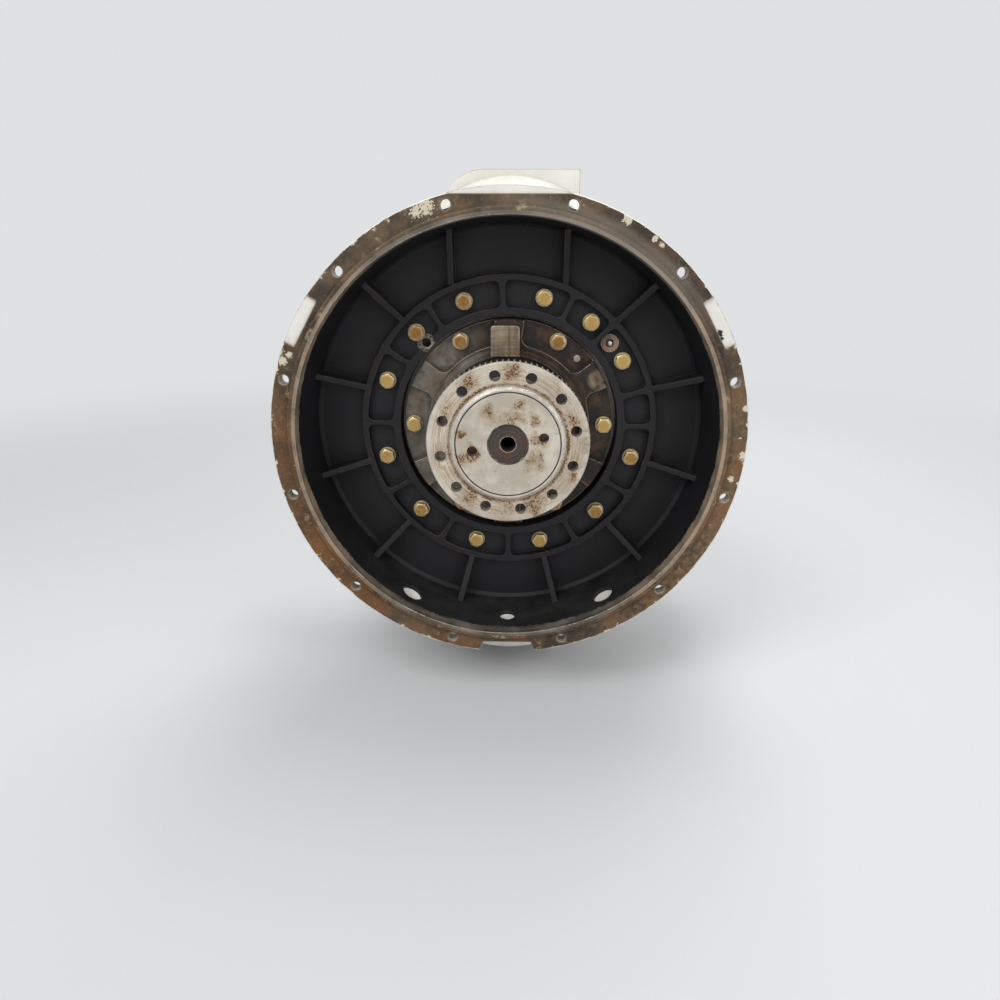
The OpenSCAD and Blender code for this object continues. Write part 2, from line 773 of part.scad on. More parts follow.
module gear_case() {
    left_z = -60;
    left_root_x = -90;
    right_z = reverse_axis[1];
    right_root_x = 200;
    mid_rib_y = train_y + 50;
    rib_t = 10;
    rib_inset = 6;
    boss_back = 8;
    boss_d = front_bearing[3] + 26;
    valve_seat = [3, 6];
    valve_root_z = 70;
    tube_root_z = 60;
    tube_boss_d = 24;
    eye_root_z = 40;
    eye_boss_d = 38;
    eye_tap = 22;
    sump_z = -drop - gear_room - case_wall;
    drain_boss_d = 42;
    drain_boss_h = 30;
    bore_run = 40;
    valve_tap = 20;
    color("#e8e6df") difference() {
        union() {
            rod(bell_depth, inner_y, case_flange_d);
            difference() {
                union() {
                    case_prism(bell_depth, joint_y, 0);
                    case_prism(joint_y - rim_t, joint_y, rim_w);
                    case_prism(mid_rib_y, mid_rib_y + rib_t, rim_w - rib_inset);
                    cover_bosses(joint_y - rim_t - boss_back, joint_y);
                    case_ribs();
                    translate([valve_x - valve_seat[0], valve_y - valve_seat[1], valve_root_z])
                        cube([
                            valve_l + 2 * valve_seat[0],
                            valve_w + 2 * valve_seat[1],
                            valve_z - valve_root_z
                        ]);
                    case_pad(-1, left_z, left_root_x);
                    case_pad(1, right_z, right_root_x);
                    translate([dipstick_x, dipstick_y, tube_root_z])
                        cylinder(h = tube_boss_z - tube_root_z, d = tube_boss_d);
                    for (p = eye_places)
                        translate([p[0], p[1], eye_root_z]) cylinder(h = p[2] - eye_root_z, d = eye_boss_d);
                    translate([0, drain_y, sump_z - boss_back]) cylinder(h = drain_boss_h, d = drain_boss_d);
                }
                case_prism(inner_y, joint_y + cut, -case_wall);
            }
            rod(inner_y - cut, input_bearing_y + input_bearing_w, input_bearing[3] + 28);
            for (axis = [reverse_axis, output_axis])
                on_axis(axis) rod(inner_y - cut, front_bearing_y + front_bearing_w, boss_d);
        }
        rod(bell_depth - cut, inner_y + bore_run, input_bearing[3] + 2 * seat);
        rod(bell_depth - cut, input_bearing_y, input_bearing[3] + 20 + 2 * seat);
        for (axis = [reverse_axis, output_axis])
            on_axis(axis) rod(front_bearing_y, front_bearing_y + bore_run, front_bearing[3] + 2 * seat);
        around(case_pcd, case_bolt_angles) rod(bell_depth - cut, bell_depth + m12_grip + 1, m12_d + 2 * run);
        around(retainer_pcd, retainer_bolt_angles)
            rod(bell_depth - cut, bell_depth + m12_grip + 1, m12_d + 2 * run);
        on_axis(dowel_place) rod(bell_depth - cut, bell_depth + dowel_depth + 1, dowel_bush_d + 2 * seat);
        on_axis(oil_hole_place) rod(bell_depth - cut, bell_depth + oil_hole_depth, oil_hole_d);
        for (p = cover_bolt_places)
            on_axis(p) rod(joint_y - m10_grip - 1, joint_y + cut, m10_d + 2 * run);
        pad_holes(-1, left_z);
        pad_holes(1, right_z);
        translate([dipstick_x, dipstick_y, 40]) cylinder(h = 90, d = tube_d + 2 * seat);
        translate([0, drain_y, sump_z - drain_boss_h]) cylinder(h = 2 * drain_boss_h, d = drain_d + 2 * run);
        for (p = eye_places)
            translate([p[0], p[1], p[2] - eye_tap]) cylinder(h = 2 * eye_tap, d = eye_shank_d + 2 * run);
        for (x = [0, 1], y = [0, 1])
            translate([valve_bolt_x(x), valve_bolt_y(y), valve_z - valve_tap])
                cylinder(h = 2 * valve_tap, d = m10_d + 2 * run);
    }
}

// The lug at the top of the retainer, with round upper corners
module retainer_lug() {
    c = 4;
    x0 = lug_x - lug_w / 2;
    x1 = lug_x + lug_w / 2;
    foot_z = retainer_hub_d / 2 - 8;
    slab(retainer_y - lug_h, retainer_y + cut) polygon(concat(
        [[x1, foot_z], [x0, foot_z]],
        arc([x0 + c, lug_z - c], c, 270, 360, 5),
        arc([x1 - c, lug_z - c], c, 0, 90, 5)
    ));
}

// Depths of the seal seat in the retainer
seal_y = retainer_y - retainer_hub_h + 9;
seal_t = 11;
input_seal_d = 156;

// A recessed bolt pad of the retainer, open at the rim
module bolt_pad(a) {
    r0 = retainer_hub_d / 2 + 3;
    r1 = retainer_d / 2 + 2 * bolt_pad_corner;
    slab(retainer_y - spoke_h - cut, retainer_y)
        polygon(ring_recess(r0, r1, a - bolt_pad_turn, a + bolt_pad_turn, bolt_pad_corner));
}

module input_bearing_retainer() {
    spigot_d = input_bearing[3] + 20;
    hub_y = retainer_y - retainer_hub_h;
    spoke_y = retainer_y - spoke_h;
    recess_d = 176;
    color("#4b4642") difference() {
        union() {
            difference() {
                turned() polygon([
                    [0, hub_y], [retainer_hub_d / 2 - 3, hub_y], [retainer_hub_d / 2, hub_y + 3],
                    [retainer_hub_d / 2, spoke_y], [retainer_d / 2 - 2, spoke_y],
                    [retainer_d / 2, spoke_y + 2],
                    [retainer_d / 2, bell_depth], [spigot_d / 2, bell_depth],
                    [spigot_d / 2, input_bearing_y - gap], [0, input_bearing_y - gap]
                ]);
                for (a = retainer_bolt_angles)
                    bolt_pad(a);
            }
            retainer_lug();
        }
        rod(hub_y - lug_h, seal_y, recess_d);
        rod(seal_y - cut, seal_y + seal_t + 2, input_seal_d + 2 * seat);
        rod(seal_y, input_bearing_y + cut, input_hub_d + 8);
        around(retainer_pcd, retainer_bolt_angles) rod(retainer_y - cut, bell_depth + cut, m12_d + 1.2);
        around(plug_pcd, [plug_angle]) rod(retainer_y - cut, retainer_y + 12, plug_d + 2 * seat);
    }
}

module retainer_bolts() {
    color("#c9a24a") around(retainer_pcd, retainer_bolt_angles)
        translate([0, retainer_y, 0]) m12_bolt(retainer_t + m12_grip);
}

module retainer_plug() {
    color("#a09a8c") around(plug_pcd, [plug_angle]) rod(retainer_y - 2, retainer_y + 11, plug_d);
}

module input_oil_seal() {
    color("#23211f") ring(seal_y, seal_y + seal_t, input_seal_d, input_hub_d + 2 * run);
}

// Ribs between the bosses of the rear cover
module cover_rib(from, to) {
    v = to - from;
    rib_t = 10;
    on_axis(from) rotate([0, atan2(v[0], v[1]), 0])
        translate([-rib_t / 2, cover_back_y - cut, 0])
            cube([rib_t, pump_y - gap - cover_back_y + cut, norm(v)]);
}

module rear_cover() {
    rear_boss_d = rear_bearing[3] + 28;
    output_boss_d = output_bearing[3] + 32;
    input_end_y = rear_bearing_y + rear_bearing_w + 8;
    color("#e8e6df") difference() {
        union() {
            case_prism(cover_y, cover_back_y, rim_w);
            cover_bosses(cover_y, cover_back_y);
            rod(rear_bearing_y, input_end_y, rear_boss_d);
            on_axis(reverse_axis) rod(rear_bearing_y, cover_y + cut, rear_boss_d);
            on_axis(reverse_axis) rod(cover_y, pump_y, pump_plate_d);
            on_axis(output_axis) rod(rear_bearing_y, output_boss_y, output_boss_d);
            cover_rib(input_axis, output_axis);
            cover_rib(input_axis, reverse_axis);
            cover_rib(output_axis, reverse_axis);
        }
        rod(rear_bearing_y - cut, rear_bearing_y + rear_bearing_w + 2, rear_bearing[3] + 2 * seat);
        on_axis(reverse_axis) rod(rear_bearing_y - cut, pump_y + cut, rear_bearing[3] + 2 * seat);
        on_axis(output_axis) rod(rear_bearing_y - cut, output_boss_y + cut, output_bearing[3] + 2 * seat);
        for (p = cover_bolt_places)
            on_axis(p) rod(cover_y - cut, cover_back_y + cut, m10_d + 1);
        on_axis(reverse_axis) around(pump_bolt_pcd, pump_bolt_angles)
            rod(pump_y - 15, pump_y + cut, m10_d + 2 * run);
        on_axis(output_axis) around(carrier_pcd, even(6, 30))
            rod(output_boss_y - 16, output_boss_y + cut, m10_d + 2 * run);
    }
}

module rear_cover_gasket() {
    color("#2b2b2b") difference() {
        case_prism(joint_y, cover_y, rim_w);
        case_prism(joint_y - cut, cover_y + cut, -case_wall);
        for (p = cover_bolt_places)
            on_axis(p) rod(joint_y - cut, cover_y + cut, m10_d + 1);
    }
}

// A smaller bolt with its head at the back. Its seat is at Y = 0 and its thread points to -Y.
module back_bolt(d, l, af, head) {
    mirror([0, 1, 0]) bolt(d, l, af, head, d * 1.9, 2);
}

module rear_cover_bolts() {
    color("#b9b6ad") for (p = cover_bolt_places)
        on_axis(p) translate([0, cover_back_y, 0])
            back_bolt(m10_d, cover_t + gasket_t + m10_grip, m10_af, m10_head);
}

// Bolt circle and seal of the output bearing carrier
carrier_pcd = output_bearing[3] + 17;
carrier_d = output_bearing[3] + 40;
output_seal_d = output_hub_d + 24;
output_seal_t = 9;

module output_bearing_carrier() {
    color("#d8d5cc") on_axis(output_axis) difference() {
        union() {
            rod(carrier_y, carrier_y + carrier_t, carrier_d);
            rod(carrier_y - 2 + gap, carrier_y + cut, output_bearing[3]);
        }
        rod(carrier_y - 3, carrier_y + carrier_t + cut, output_hub_d + 6);
        rod(carrier_y + carrier_t - output_seal_t, carrier_y + carrier_t + cut, output_seal_d + 2 * seat);
        around(carrier_pcd, even(6, 30)) rod(carrier_y - cut, carrier_y + carrier_t + cut, m10_d + 1);
    }
}

module carrier_bolts() {
    color("#b9b6ad") on_axis(output_axis) around(carrier_pcd, even(6, 30))
        translate([0, carrier_y + carrier_t, 0]) back_bolt(m10_d, carrier_t + m10_grip, m10_af, m10_head);
}

module output_oil_seal() {
    y1 = carrier_y + carrier_t;
    color("#23211f") on_axis(output_axis)
        ring(y1 - output_seal_t, y1, output_seal_d, output_hub_d + 2 * run);
}

// Outer ring of a rolling bearing
module outer_ring(b, y, w) {
    ring(y, y + w, b[3], b[2]);
}

// Inner ring of a rolling bearing with its rollers
module cone(b, y, w) {
    roller_d = (b[2] - b[1]) / 2 - 2 * gap;
    pitch_d = (b[1] + b[2]) / 2;
    count = floor(PI * pitch_d / (roller_d + 2));
    ring(y, y + w, b[1], b[0] + 2 * seat);
    around(pitch_d, even(count)) rod(y + 3, y + w - 3, roller_d);
}

module bearing_outer_rings() {
    color("#9ba0a4") {
        outer_ring(input_bearing, input_bearing_y, input_bearing_w);
        for (axis = [reverse_axis, output_axis])
            on_axis(axis) outer_ring(front_bearing, front_bearing_y, front_bearing_w);
        for (axis = [input_axis, reverse_axis])
            on_axis(axis) outer_ring(rear_bearing, rear_bearing_y, rear_bearing_w);
        on_axis(output_axis) outer_ring(output_bearing, rear_bearing_y, output_bearing_w);
    }
}

// Places of the bolts that hold the valve body and its cover
function valve_bolt_x(i) = valve_x + 14 + i * (valve_l - 28);
function valve_bolt_y(i) = valve_y + 14 + i * (valve_w - 28);

module valve_body() {
    color("#e8e6df") difference() {
        union() {
            translate([valve_x, valve_y, valve_z]) cube([valve_l, valve_w, valve_h]);
            translate([valve_x + valve_l - cut, spool_y, spool_z])
                rotate([0, 90, 0]) cylinder(h = spool_boss_l + cut, d = spool_boss_d);
            for (x = [0, 1], y = [0, 1])
                translate([valve_bolt_x(x), valve_bolt_y(y), valve_z]) cylinder(h = valve_h, d = 24);
        }
        translate([valve_x + valve_l + spool_boss_l - spool_l, spool_y, spool_z])
            rotate([0, 90, 0]) cylinder(h = spool_l + cut, d = spool_d + 2 * run);
        for (x = [0, 1], y = [0, 1])
            translate([valve_bolt_x(x), valve_bolt_y(y), valve_z - cut])
                cylinder(h = valve_h + 2 * cut, d = m10_d + 1);
        for (i = [0 : plug_count - 1])
            port_place(i) rod(-cut, plug_l + 2, port_d + 2 * run);
    }
}

module valve_cover() {
    z0 = valve_z + valve_h;
    color("#e8e6df") difference() {
        union() {
            translate([valve_x, valve_y, z0]) cube([valve_l, valve_w, valve_cover_t]);
            translate([breather_place[0], breather_place[1], z0]) cylinder(h = valve_cover_t + 4, d = 34);
        }
        for (x = [0, 1], y = [0, 1])
            translate([valve_bolt_x(x), valve_bolt_y(y), z0 - cut])
                cylinder(h = valve_cover_t + 2 * cut, d = m10_d + 1);
        translate([breather_place[0], breather_place[1], z0 - cut]) cylinder(h = 40, d = 16 + 2 * run);
    }
}

module valve_bolts() {
    l = valve_cover_t + valve_h + m10_grip;
    color("#b9b6ad") for (x = [0, 1], y = [0, 1])
        translate([valve_bolt_x(x), valve_bolt_y(y), valve_z + valve_h + valve_cover_t])
            rotate([-90, 0, 0]) bolt(m10_d, l, m10_af, m10_head, m10_d * 1.9, 2);
}

module filter_adapter() {
    color("#8f959a") translate([valve_x, spool_y, filter_z]) rotate([0, -90, 0])
        cylinder(h = adapter_l, d = adapter_d * 0.6);
}

module oil_filter() {
    x = valve_x - adapter_l;
    dome = 9;
    color("#d9d9d6") translate([x, spool_y, filter_z]) rotate([0, -90, 0]) rotate_extrude() polygon([
        [0, 0], [filter_d / 2 - 3, 0], [filter_d / 2, 3], [filter_d / 2, filter_l - dome],
        [filter_d / 2 - 3, filter_l - dome / 2], [filter_d / 2 - dome, filter_l], [0, filter_l]
    ]);
}

// Plugs in the oil ports on the front of the valve body
plug_count = 3;
port_d = 14;
plug_inset = 33;
plug_l = 12;
module port_place(i) {
    x0 = valve_x + plug_inset;
    step = (valve_l - 2 * plug_inset) / (plug_count - 1);
    translate([x0 + i * step, valve_y, spool_z - 4]) children();
}

module port_plugs() {
    color("#77797a") for (i = [0 : plug_count - 1])
        port_place(i) bolt(port_d, plug_l, 17, 7, 22, 2);
}

// Body of the oil pump: a plate on the rear cover and a gear chamber behind it
module oil_pump_body() {
    color("#8f959a") difference() {
        union() {
            on_axis(reverse_axis) rod(pump_y, pump_y + pump_plate_t, pump_plate_d);
            on_axis(reverse_axis) rod(pump_y - 3, pump_y + cut, rear_bearing[3]);
            slab(pump_y + 2, pump_cover_y) polygon(outline(pump_lobes, 0, arc_steps));
        }
        on_axis(reverse_axis) rod(pump_y - 4, pump_gear_y + cut, pump_shaft_d + 2 * run);
        for (axis = [reverse_axis, idler_axis])
            on_axis(axis) rod(pump_gear_y, pump_cover_y + cut, pump_tip_d + 2 * gap);
        on_axis(idler_axis) rod(pump_gear_y - idler_pin_l, pump_gear_y + cut, idler_pin_d + 2 * run);
        on_axis(reverse_axis) around(pump_bolt_pcd, pump_bolt_angles)
            rod(pump_y - cut, pump_y + pump_plate_t + cut, m10_d + 1);
        for (p = pump_bolt_places)
            on_axis(p) rod(pump_cover_y - 15, pump_cover_y + cut, m8_d + 2 * run);
    }
}

// Bolts of the pump: through its plate, and through its cover
pump_bolt_angles = [85, 145, 215, 275];
pump_bolt_places = outline(pump_lobes, -8, 2);

module oil_pump_cover() {
    y1 = pump_cover_y + pump_cover_t;
    color("#8f959a") difference() {
        slab(pump_cover_y, y1) polygon(outline(pump_lobes, 0, arc_steps));
        on_axis(idler_axis) rod(pump_cover_y - cut, pump_cover_y + idler_pin_l, idler_pin_d + 2 * run);
        for (p = pump_bolt_places)
            on_axis(p) rod(pump_cover_y - cut, y1 + cut, m8_d + 1);
    }
}

module oil_pump_bolts() {
    color("#b9b6ad") {
        for (p = pump_bolt_places)
            on_axis(p) translate([0, pump_cover_y + pump_cover_t, 0])
                back_bolt(m8_d, pump_cover_t + 14, m8_af, m8_head);
        on_axis(reverse_axis) around(pump_bolt_pcd, pump_bolt_angles)
            translate([0, pump_y + pump_plate_t, 0]) back_bolt(m10_d, pump_plate_t + 14, m10_af, m10_head);
    }
}

module dipstick_tube() {
    color("#8f959a") translate([dipstick_x, dipstick_y, tube_bottom_z]) difference() {
        cylinder(h = tube_top_z - tube_bottom_z, d = tube_d);
        translate([0, 0, -cut]) cylinder(h = tube_top_z, d = tube_bore);
    }
}

module dipstick() {
    cap_d = 18;
    cap_h = 8;
    loop_d = 24;
    bar_d = 4;
    color("#d8b23a") translate([dipstick_x, dipstick_y, tube_top_z]) {
        translate([0, 0, -dipstick_l]) cylinder(h = dipstick_l + 1, d = dipstick_d);
        translate([0, 0, -10]) cylinder(h = 11, d = tube_bore - 2 * run);
        translate([0, 0, gap]) cylinder(h = cap_h, d = cap_d);
        translate([0, 0, cap_h + loop_d / 2]) rotate([90, 0, 0])
            rotate_extrude() translate([loop_d / 2, 0]) circle(d = bar_d);
    }
}

// Breather on the valve cover
breather_place = [valve_x + valve_l / 2, valve_y + valve_w - 32];
module breather() {
    z0 = valve_z + valve_h + valve_cover_t + 4;
    color("#77797a") translate([breather_place[0], breather_place[1], z0]) {
        translate([0, 0, -12]) cylinder(h = 14, d = 16);
        cylinder(h = 8, d = 24 / cos(30), $fn = 6);
        translate([0, 0, 7]) cylinder(h = 10, d = 18);
        translate([0, 0, 14]) cylinder(h = 16, d = 32);
    }
}

module drain_plug() {
    z0 = -drop - gear_room - case_wall - 8;
    color("#77797a") translate([0, drain_y, z0]) rotate([90, 0, 0]) bolt(drain_d, 16, 27, 10, 34, 2);
}

module lifting_eyes() {
    color("#8a8478") for (p = eye_places)
        translate(p) {
            translate([0, 0, -20]) cylinder(h = 22, d = eye_shank_d);
            cylinder(h = 8, d = 34);
            translate([0, 0, eye_ring_d / 2 + 6]) rotate([90, 0, 0])
                rotate_extrude() translate([eye_ring_d / 2, 0]) circle(d = eye_bar_d);
        }
}

// Rear part of a clutch shaft, the same on both shafts
module clutch_shaft_tail() {
    rod(train_y - gap, train_y + sleeve_l, drum_seat_d);
    rod(train_y + sleeve_l - cut, rear_bearing_y - 2 - gap, pinion_seat_d);
    rod(rear_bearing_y - 3, rear_bearing_y + rear_bearing_w, rear_journal_d);
}

module input_shaft() {
    shaft_end_y = -4;
    nose_y = 2.5 - input_flange_y - input_boss_h;
    thread_d = 18;
    color("#6e6a64") difference() {
        union() {
            rod(nose_y, shaft_end_y + cut, input_eye_d - 2 * gap);
            rod(shaft_end_y, bell_depth + cut, input_shaft_d);
            rod(bell_depth, train_y, input_journal_d);
            clutch_shaft_tail();
        }
        rod(nose_y - cut, nose_y + 55, thread_d);
    }
}

module input_flange() {
    face_y = -input_flange_y;
    back_y = face_y + input_flange_t;
    boss_y = face_y - input_boss_h;
    puller_d = 12;
    puller_pcd = 83;
    boss_r = input_boss_d / 2;
    chamfer = 3;
    groove_r = boss_r - 6.5;
    groove_w = 1.4;
    groove_t = 0.9;
    color("#b9b2a4") difference() {
        turned() polygon([
            [input_eye_d / 2, boss_y], [groove_r, boss_y], [groove_r, boss_y + groove_t],
            [groove_r + groove_w, boss_y + groove_t], [groove_r + groove_w, boss_y],
            [boss_r - chamfer, boss_y], [boss_r, boss_y + chamfer], [boss_r, face_y + groove_t],
            [boss_r + 2 * groove_w, face_y + groove_t], [boss_r + 2 * groove_w, face_y],
            [input_flange_d / 2 - 1, face_y], [input_flange_d / 2, face_y + 1],
            [input_flange_d / 2, back_y - tone_t], [tone_seat_d / 2, back_y - tone_t],
            [tone_seat_d / 2, back_y], [input_hub_d / 2, back_y], [input_hub_d / 2, bell_depth - 4],
            [input_shaft_d / 2 + seat, bell_depth - 4], [input_shaft_d / 2 + seat, -4], [input_eye_d / 2, -4]
        ]);
        around(input_pcd, even(12, input_phase)) rod(face_y - cut, back_y + cut, input_hole_d);
        around(puller_pcd, [input_phase + 60, input_phase + 240]) rod(boss_y - cut, -6, puller_d);
    }
}

module tone_ring() {
    back_y = input_flange_t - input_flange_y;
    front_y = back_y - tone_t + seat;
    tone_m = tone_d / (tone_teeth + 2);
    color("#8c8474") difference() {
        gear(front_y, back_y, tone_m, tone_teeth, 1, 0);
        rod(front_y - cut, back_y + cut, tone_seat_d + 2 * seat);
    }
}

// A clutch drum with its transfer gear
module clutch_drum(phase) {
    difference() {
        union() {
            gear(train_y, train_y + transfer_w, gear_m, z_transfer, gear_play, phase);
            rod(train_y, train_y + drum_l, drum_d);
        }
        difference() {
            rod(train_y + drum_web, train_y + drum_l + cut, drum_bore);
            rod(train_y, train_y + sleeve_l, sleeve_d);
        }
        rod(train_y - cut, train_y + drum_l, drum_seat_d + 2 * seat);
    }
}

// Steel plates of a clutch, with the end plate and the snap ring
module steel_plates() {
    d = drum_bore - 2 * gap;
    end_y = plates_y + plate_pairs * pair_pitch;
    for (i = [0 : plate_pairs - 1])
        ring(plates_y + i * pair_pitch, plates_y + i * pair_pitch + steel_t, d, 114);
    ring(end_y, end_y + end_plate_t, d, 114);
    ring(end_y + end_plate_t + gap, end_y + end_plate_t + gap + snap_t, drum_bore - 2 * run, 138);
}

// Friction plates of a clutch
module friction_plates() {
    for (i = [0 : plate_pairs - 1])
        let (y = plates_y + i * pair_pitch + steel_t + gap)
        ring(y, y + friction_t, 146, hub_d + 2 * run);
}

// A clutch piston on the sleeve of its drum
module clutch_piston() {
    y0 = train_y + drum_web + gap;
    ring(y0, plates_y - piston_stroke - 2 * gap, drum_bore - 2 * run, sleeve_d + 2 * run);
}

// A pinion with the hub that carries the friction plates
module clutch_pinion(phase) {
    difference() {
        union() {
            gear(pinion_y, pinion_y + pinion_w, gear_m, z_pinion, gear_play, phase);
            rod(plates_y, pinion_y + cut, hub_d);
        }
        rod(plates_y - cut, pinion_y + pinion_w + cut, bush_d + 2 * seat);
    }
}

// Bushes of a pinion and the thrust washer behind it
module pinion_bushes() {
    bush_l = 30;
    y1 = pinion_y + pinion_w;
    ring(plates_y + 1, plates_y + 1 + bush_l, bush_d, pinion_seat_d + 2 * run);
    ring(y1 - bush_l, y1, bush_d, pinion_seat_d + 2 * run);
    ring(y1 + gap, y1 + gap + thrust_t, 92, pinion_seat_d + 2 * run);
}

module ahead_clutch_drum() {
    color("#8d9196") clutch_drum(0);
}

module ahead_steel_plates() {
    color("#9ba0a4") steel_plates();
}

module input_bearing_cones() {
    color("#a9adb0") {
        cone(input_bearing, input_bearing_y, input_bearing_w);
        cone(rear_bearing, rear_bearing_y - 2 + gap, rear_bearing_w + 2 - gap);
    }
}

module ahead_piston() {
    color("#7d8388") clutch_piston();
}

module ahead_pinion() {
    color("#8d9196") clutch_pinion(0);
}

module ahead_pinion_bushes() {
    color("#b08d4a") pinion_bushes();
}

module ahead_friction_plates() {
    color("#7a5a3a") friction_plates();
}

module reverse_shaft() {
    color("#6e6a64") on_axis(reverse_axis) {
        rod(front_bearing_y + gap, train_y, front_journal_d);
        clutch_shaft_tail();
        rod(rear_bearing_y, pump_cover_y - gap, pump_shaft_d);
    }
}

module astern_clutch_drum() {
    color("#8d9196") on_axis(reverse_axis) clutch_drum(reverse_transfer_phase);
}

module astern_steel_plates() {
    color("#9ba0a4") on_axis(reverse_axis) steel_plates();
}

module reverse_bearing_cones() {
    color("#a9adb0") on_axis(reverse_axis) {
        cone(front_bearing, front_bearing_y + gap, front_bearing_w - gap);
        cone(rear_bearing, rear_bearing_y - 2 + gap, rear_bearing_w + 2 - gap);
    }
}

module pump_drive_gear() {
    y0 = pump_gear_y + gap;
    color("#8d9196") on_axis(reverse_axis) difference() {
        gear(y0, y0 + pump_gear_w, pump_m, z_pump, gear_play, 0);
        rod(y0 - cut, y0 + pump_gear_w + cut, pump_shaft_d + 2 * seat);
    }
}

module astern_piston() {
    color("#7d8388") on_axis(reverse_axis) clutch_piston();
}

module astern_pinion() {
    color("#8d9196") on_axis(reverse_axis) clutch_pinion(astern_pinion_phase);
}

module astern_pinion_bushes() {
    color("#b08d4a") on_axis(reverse_axis) pinion_bushes();
}

module astern_friction_plates() {
    color("#7a5a3a") on_axis(reverse_axis) friction_plates();
}

module pump_idler_gear() {
    y0 = pump_gear_y + gap;
    pin_y0 = pump_gear_y - idler_pin_l + gap;
    pin_y1 = pump_cover_y + idler_pin_l - gap;
    color("#8d9196") on_axis(idler_axis) {
        gear(y0, y0 + pump_gear_w, pump_m, z_pump, gear_play, idler_phase);
        rod(pin_y0, pin_y1, idler_pin_d);
    }
}

module output_shaft() {
    collar_y = output_gear_y - 12;
    collar_rise = 16;
    journal_rise = 12;
    gear_end_y = output_gear_y + output_w;
    color("#6e6a64") on_axis(output_axis) {
        rod(front_bearing_y + gap, collar_y, front_journal_d);
        rod(front_bearing_y + front_bearing_w + 2, output_gear_y, front_journal_d + journal_rise);
        rod(collar_y, output_gear_y, gear_seat_d + collar_rise);
        rod(output_gear_y - cut, gear_end_y, gear_seat_d);
        rod(gear_end_y - cut, rear_bearing_y + output_bearing_w, output_journal_d);
        rod(rear_bearing_y + output_bearing_w - cut, output_lip_y - gap, output_spline_d);
        rod(output_lip_y - gap - cut, output_end_y + output_pilot_h, output_thread_d);
    }
}

module output_gear() {
    y1 = output_gear_y + output_w;
    hub_end_y = rear_bearing_y - gap;
    web_w = 22;
    rim_in = gear_m * (z_output - 2.5) - 26;
    hub_out = gear_seat_d + 24;
    recess = (output_w - web_w) / 2;
    web_holes = 8;
    web_hole_d = 30;
    color("#8d9196") on_axis(output_axis) difference() {
        union() {
            gear(output_gear_y, y1, gear_m, z_output, gear_play, output_gear_phase);
            rod(y1 - cut, hub_end_y, hub_out - 4);
        }
        ring(output_gear_y - cut, output_gear_y + recess, rim_in, hub_out);
        ring(y1 - recess, y1 + cut, rim_in, hub_out);
        around((rim_in + hub_out) / 2, even(web_holes)) rod(output_gear_y, y1, web_hole_d);
        rod(output_gear_y - cut, hub_end_y + cut, gear_seat_d + 2 * seat);
    }
}

module output_bearing_cones() {
    color("#a9adb0") on_axis(output_axis) {
        cone(front_bearing, front_bearing_y + gap, front_bearing_w - gap);
        cone(output_bearing, rear_bearing_y, output_bearing_w);
    }
}

module output_flange() {
    hub_y = rear_bearing_y + output_bearing_w + gap;
    lip_back_y = output_lip_y + output_lip_t;
    color("#b9b2a4") on_axis(output_axis) difference() {
        turned() polygon([
            [output_spline_d / 2 + seat, hub_y], [output_hub_d / 2, hub_y],
            [output_hub_d / 2, output_flange_y],
            [output_flange_d / 2 - 1, output_flange_y], [output_flange_d / 2, output_flange_y + 1],
            [output_flange_d / 2, output_end_y - 1], [output_flange_d / 2 - 1, output_end_y],
            [output_pilot_d / 2, output_end_y], [output_pilot_d / 2, output_end_y + output_pilot_h],
            [output_spline_d / 2, output_end_y + output_pilot_h], [output_spline_d / 2, lip_back_y],
            [output_thread_d / 2 + run, lip_back_y], [output_thread_d / 2 + run, output_lip_y],
            [output_spline_d / 2 + seat, output_lip_y]
        ]);
        around(output_pcd, even(output_bolts, 180 / output_bolts))
            rod(output_flange_y - cut, output_end_y + cut, output_hole_d);
    }
}

module output_nut() {
    y0 = output_lip_y + output_lip_t;
    washer_t = 4;
    nut_t = 14;
    nut_af = output_thread_d + 10;
    color("#77797a") on_axis(output_axis) difference() {
        union() {
            rod(y0, y0 + washer_t, output_spline_d - 4);
            hex(y0 + washer_t, y0 + washer_t + nut_t, nut_af);
        }
        rod(y0 - cut, y0 + washer_t + nut_t + cut, output_thread_d + 2 * run);
    }
}

// The selector lever on the end of the spool, upright in neutral
module selector_lever() {
    hub_d = 34;
    eye_d = 20;
    arm_w = 14;
    arm_t = 8;
    hole_d = 8;
    x0 = valve_x + valve_l + spool_boss_l + gap;
    color("#3b3b3b") translate([x0, spool_y, spool_z]) difference() {
        union() {
            rotate([0, 90, 0]) cylinder(h = lever_t, d = hub_d);
            translate([0, -arm_w / 2, 0]) cube([arm_t, arm_w, lever_l]);
            translate([0, 0, lever_l]) rotate([0, 90, 0]) cylinder(h = arm_t, d = eye_d);
        }
        translate([-cut, 0, 0]) rotate([0, 90, 0])
            cylinder(h = lever_t + 2 * cut, d = spool_end_d + 2 * seat);
        translate([-cut, 0, lever_l]) rotate([0, 90, 0]) cylinder(h = arm_t + 2 * cut, d = hole_d);
    }
}

module selector_spool() {
    x1 = valve_x + valve_l + spool_boss_l;
    color("#a9adb0") translate([x1, spool_y, spool_z]) rotate([0, 90, 0]) {
        translate([0, 0, gap - spool_l]) cylinder(h = spool_l - gap, d = spool_d);
        translate([0, 0, -cut]) cylinder(h = lever_t + 4, d = spool_end_d);
    }
}

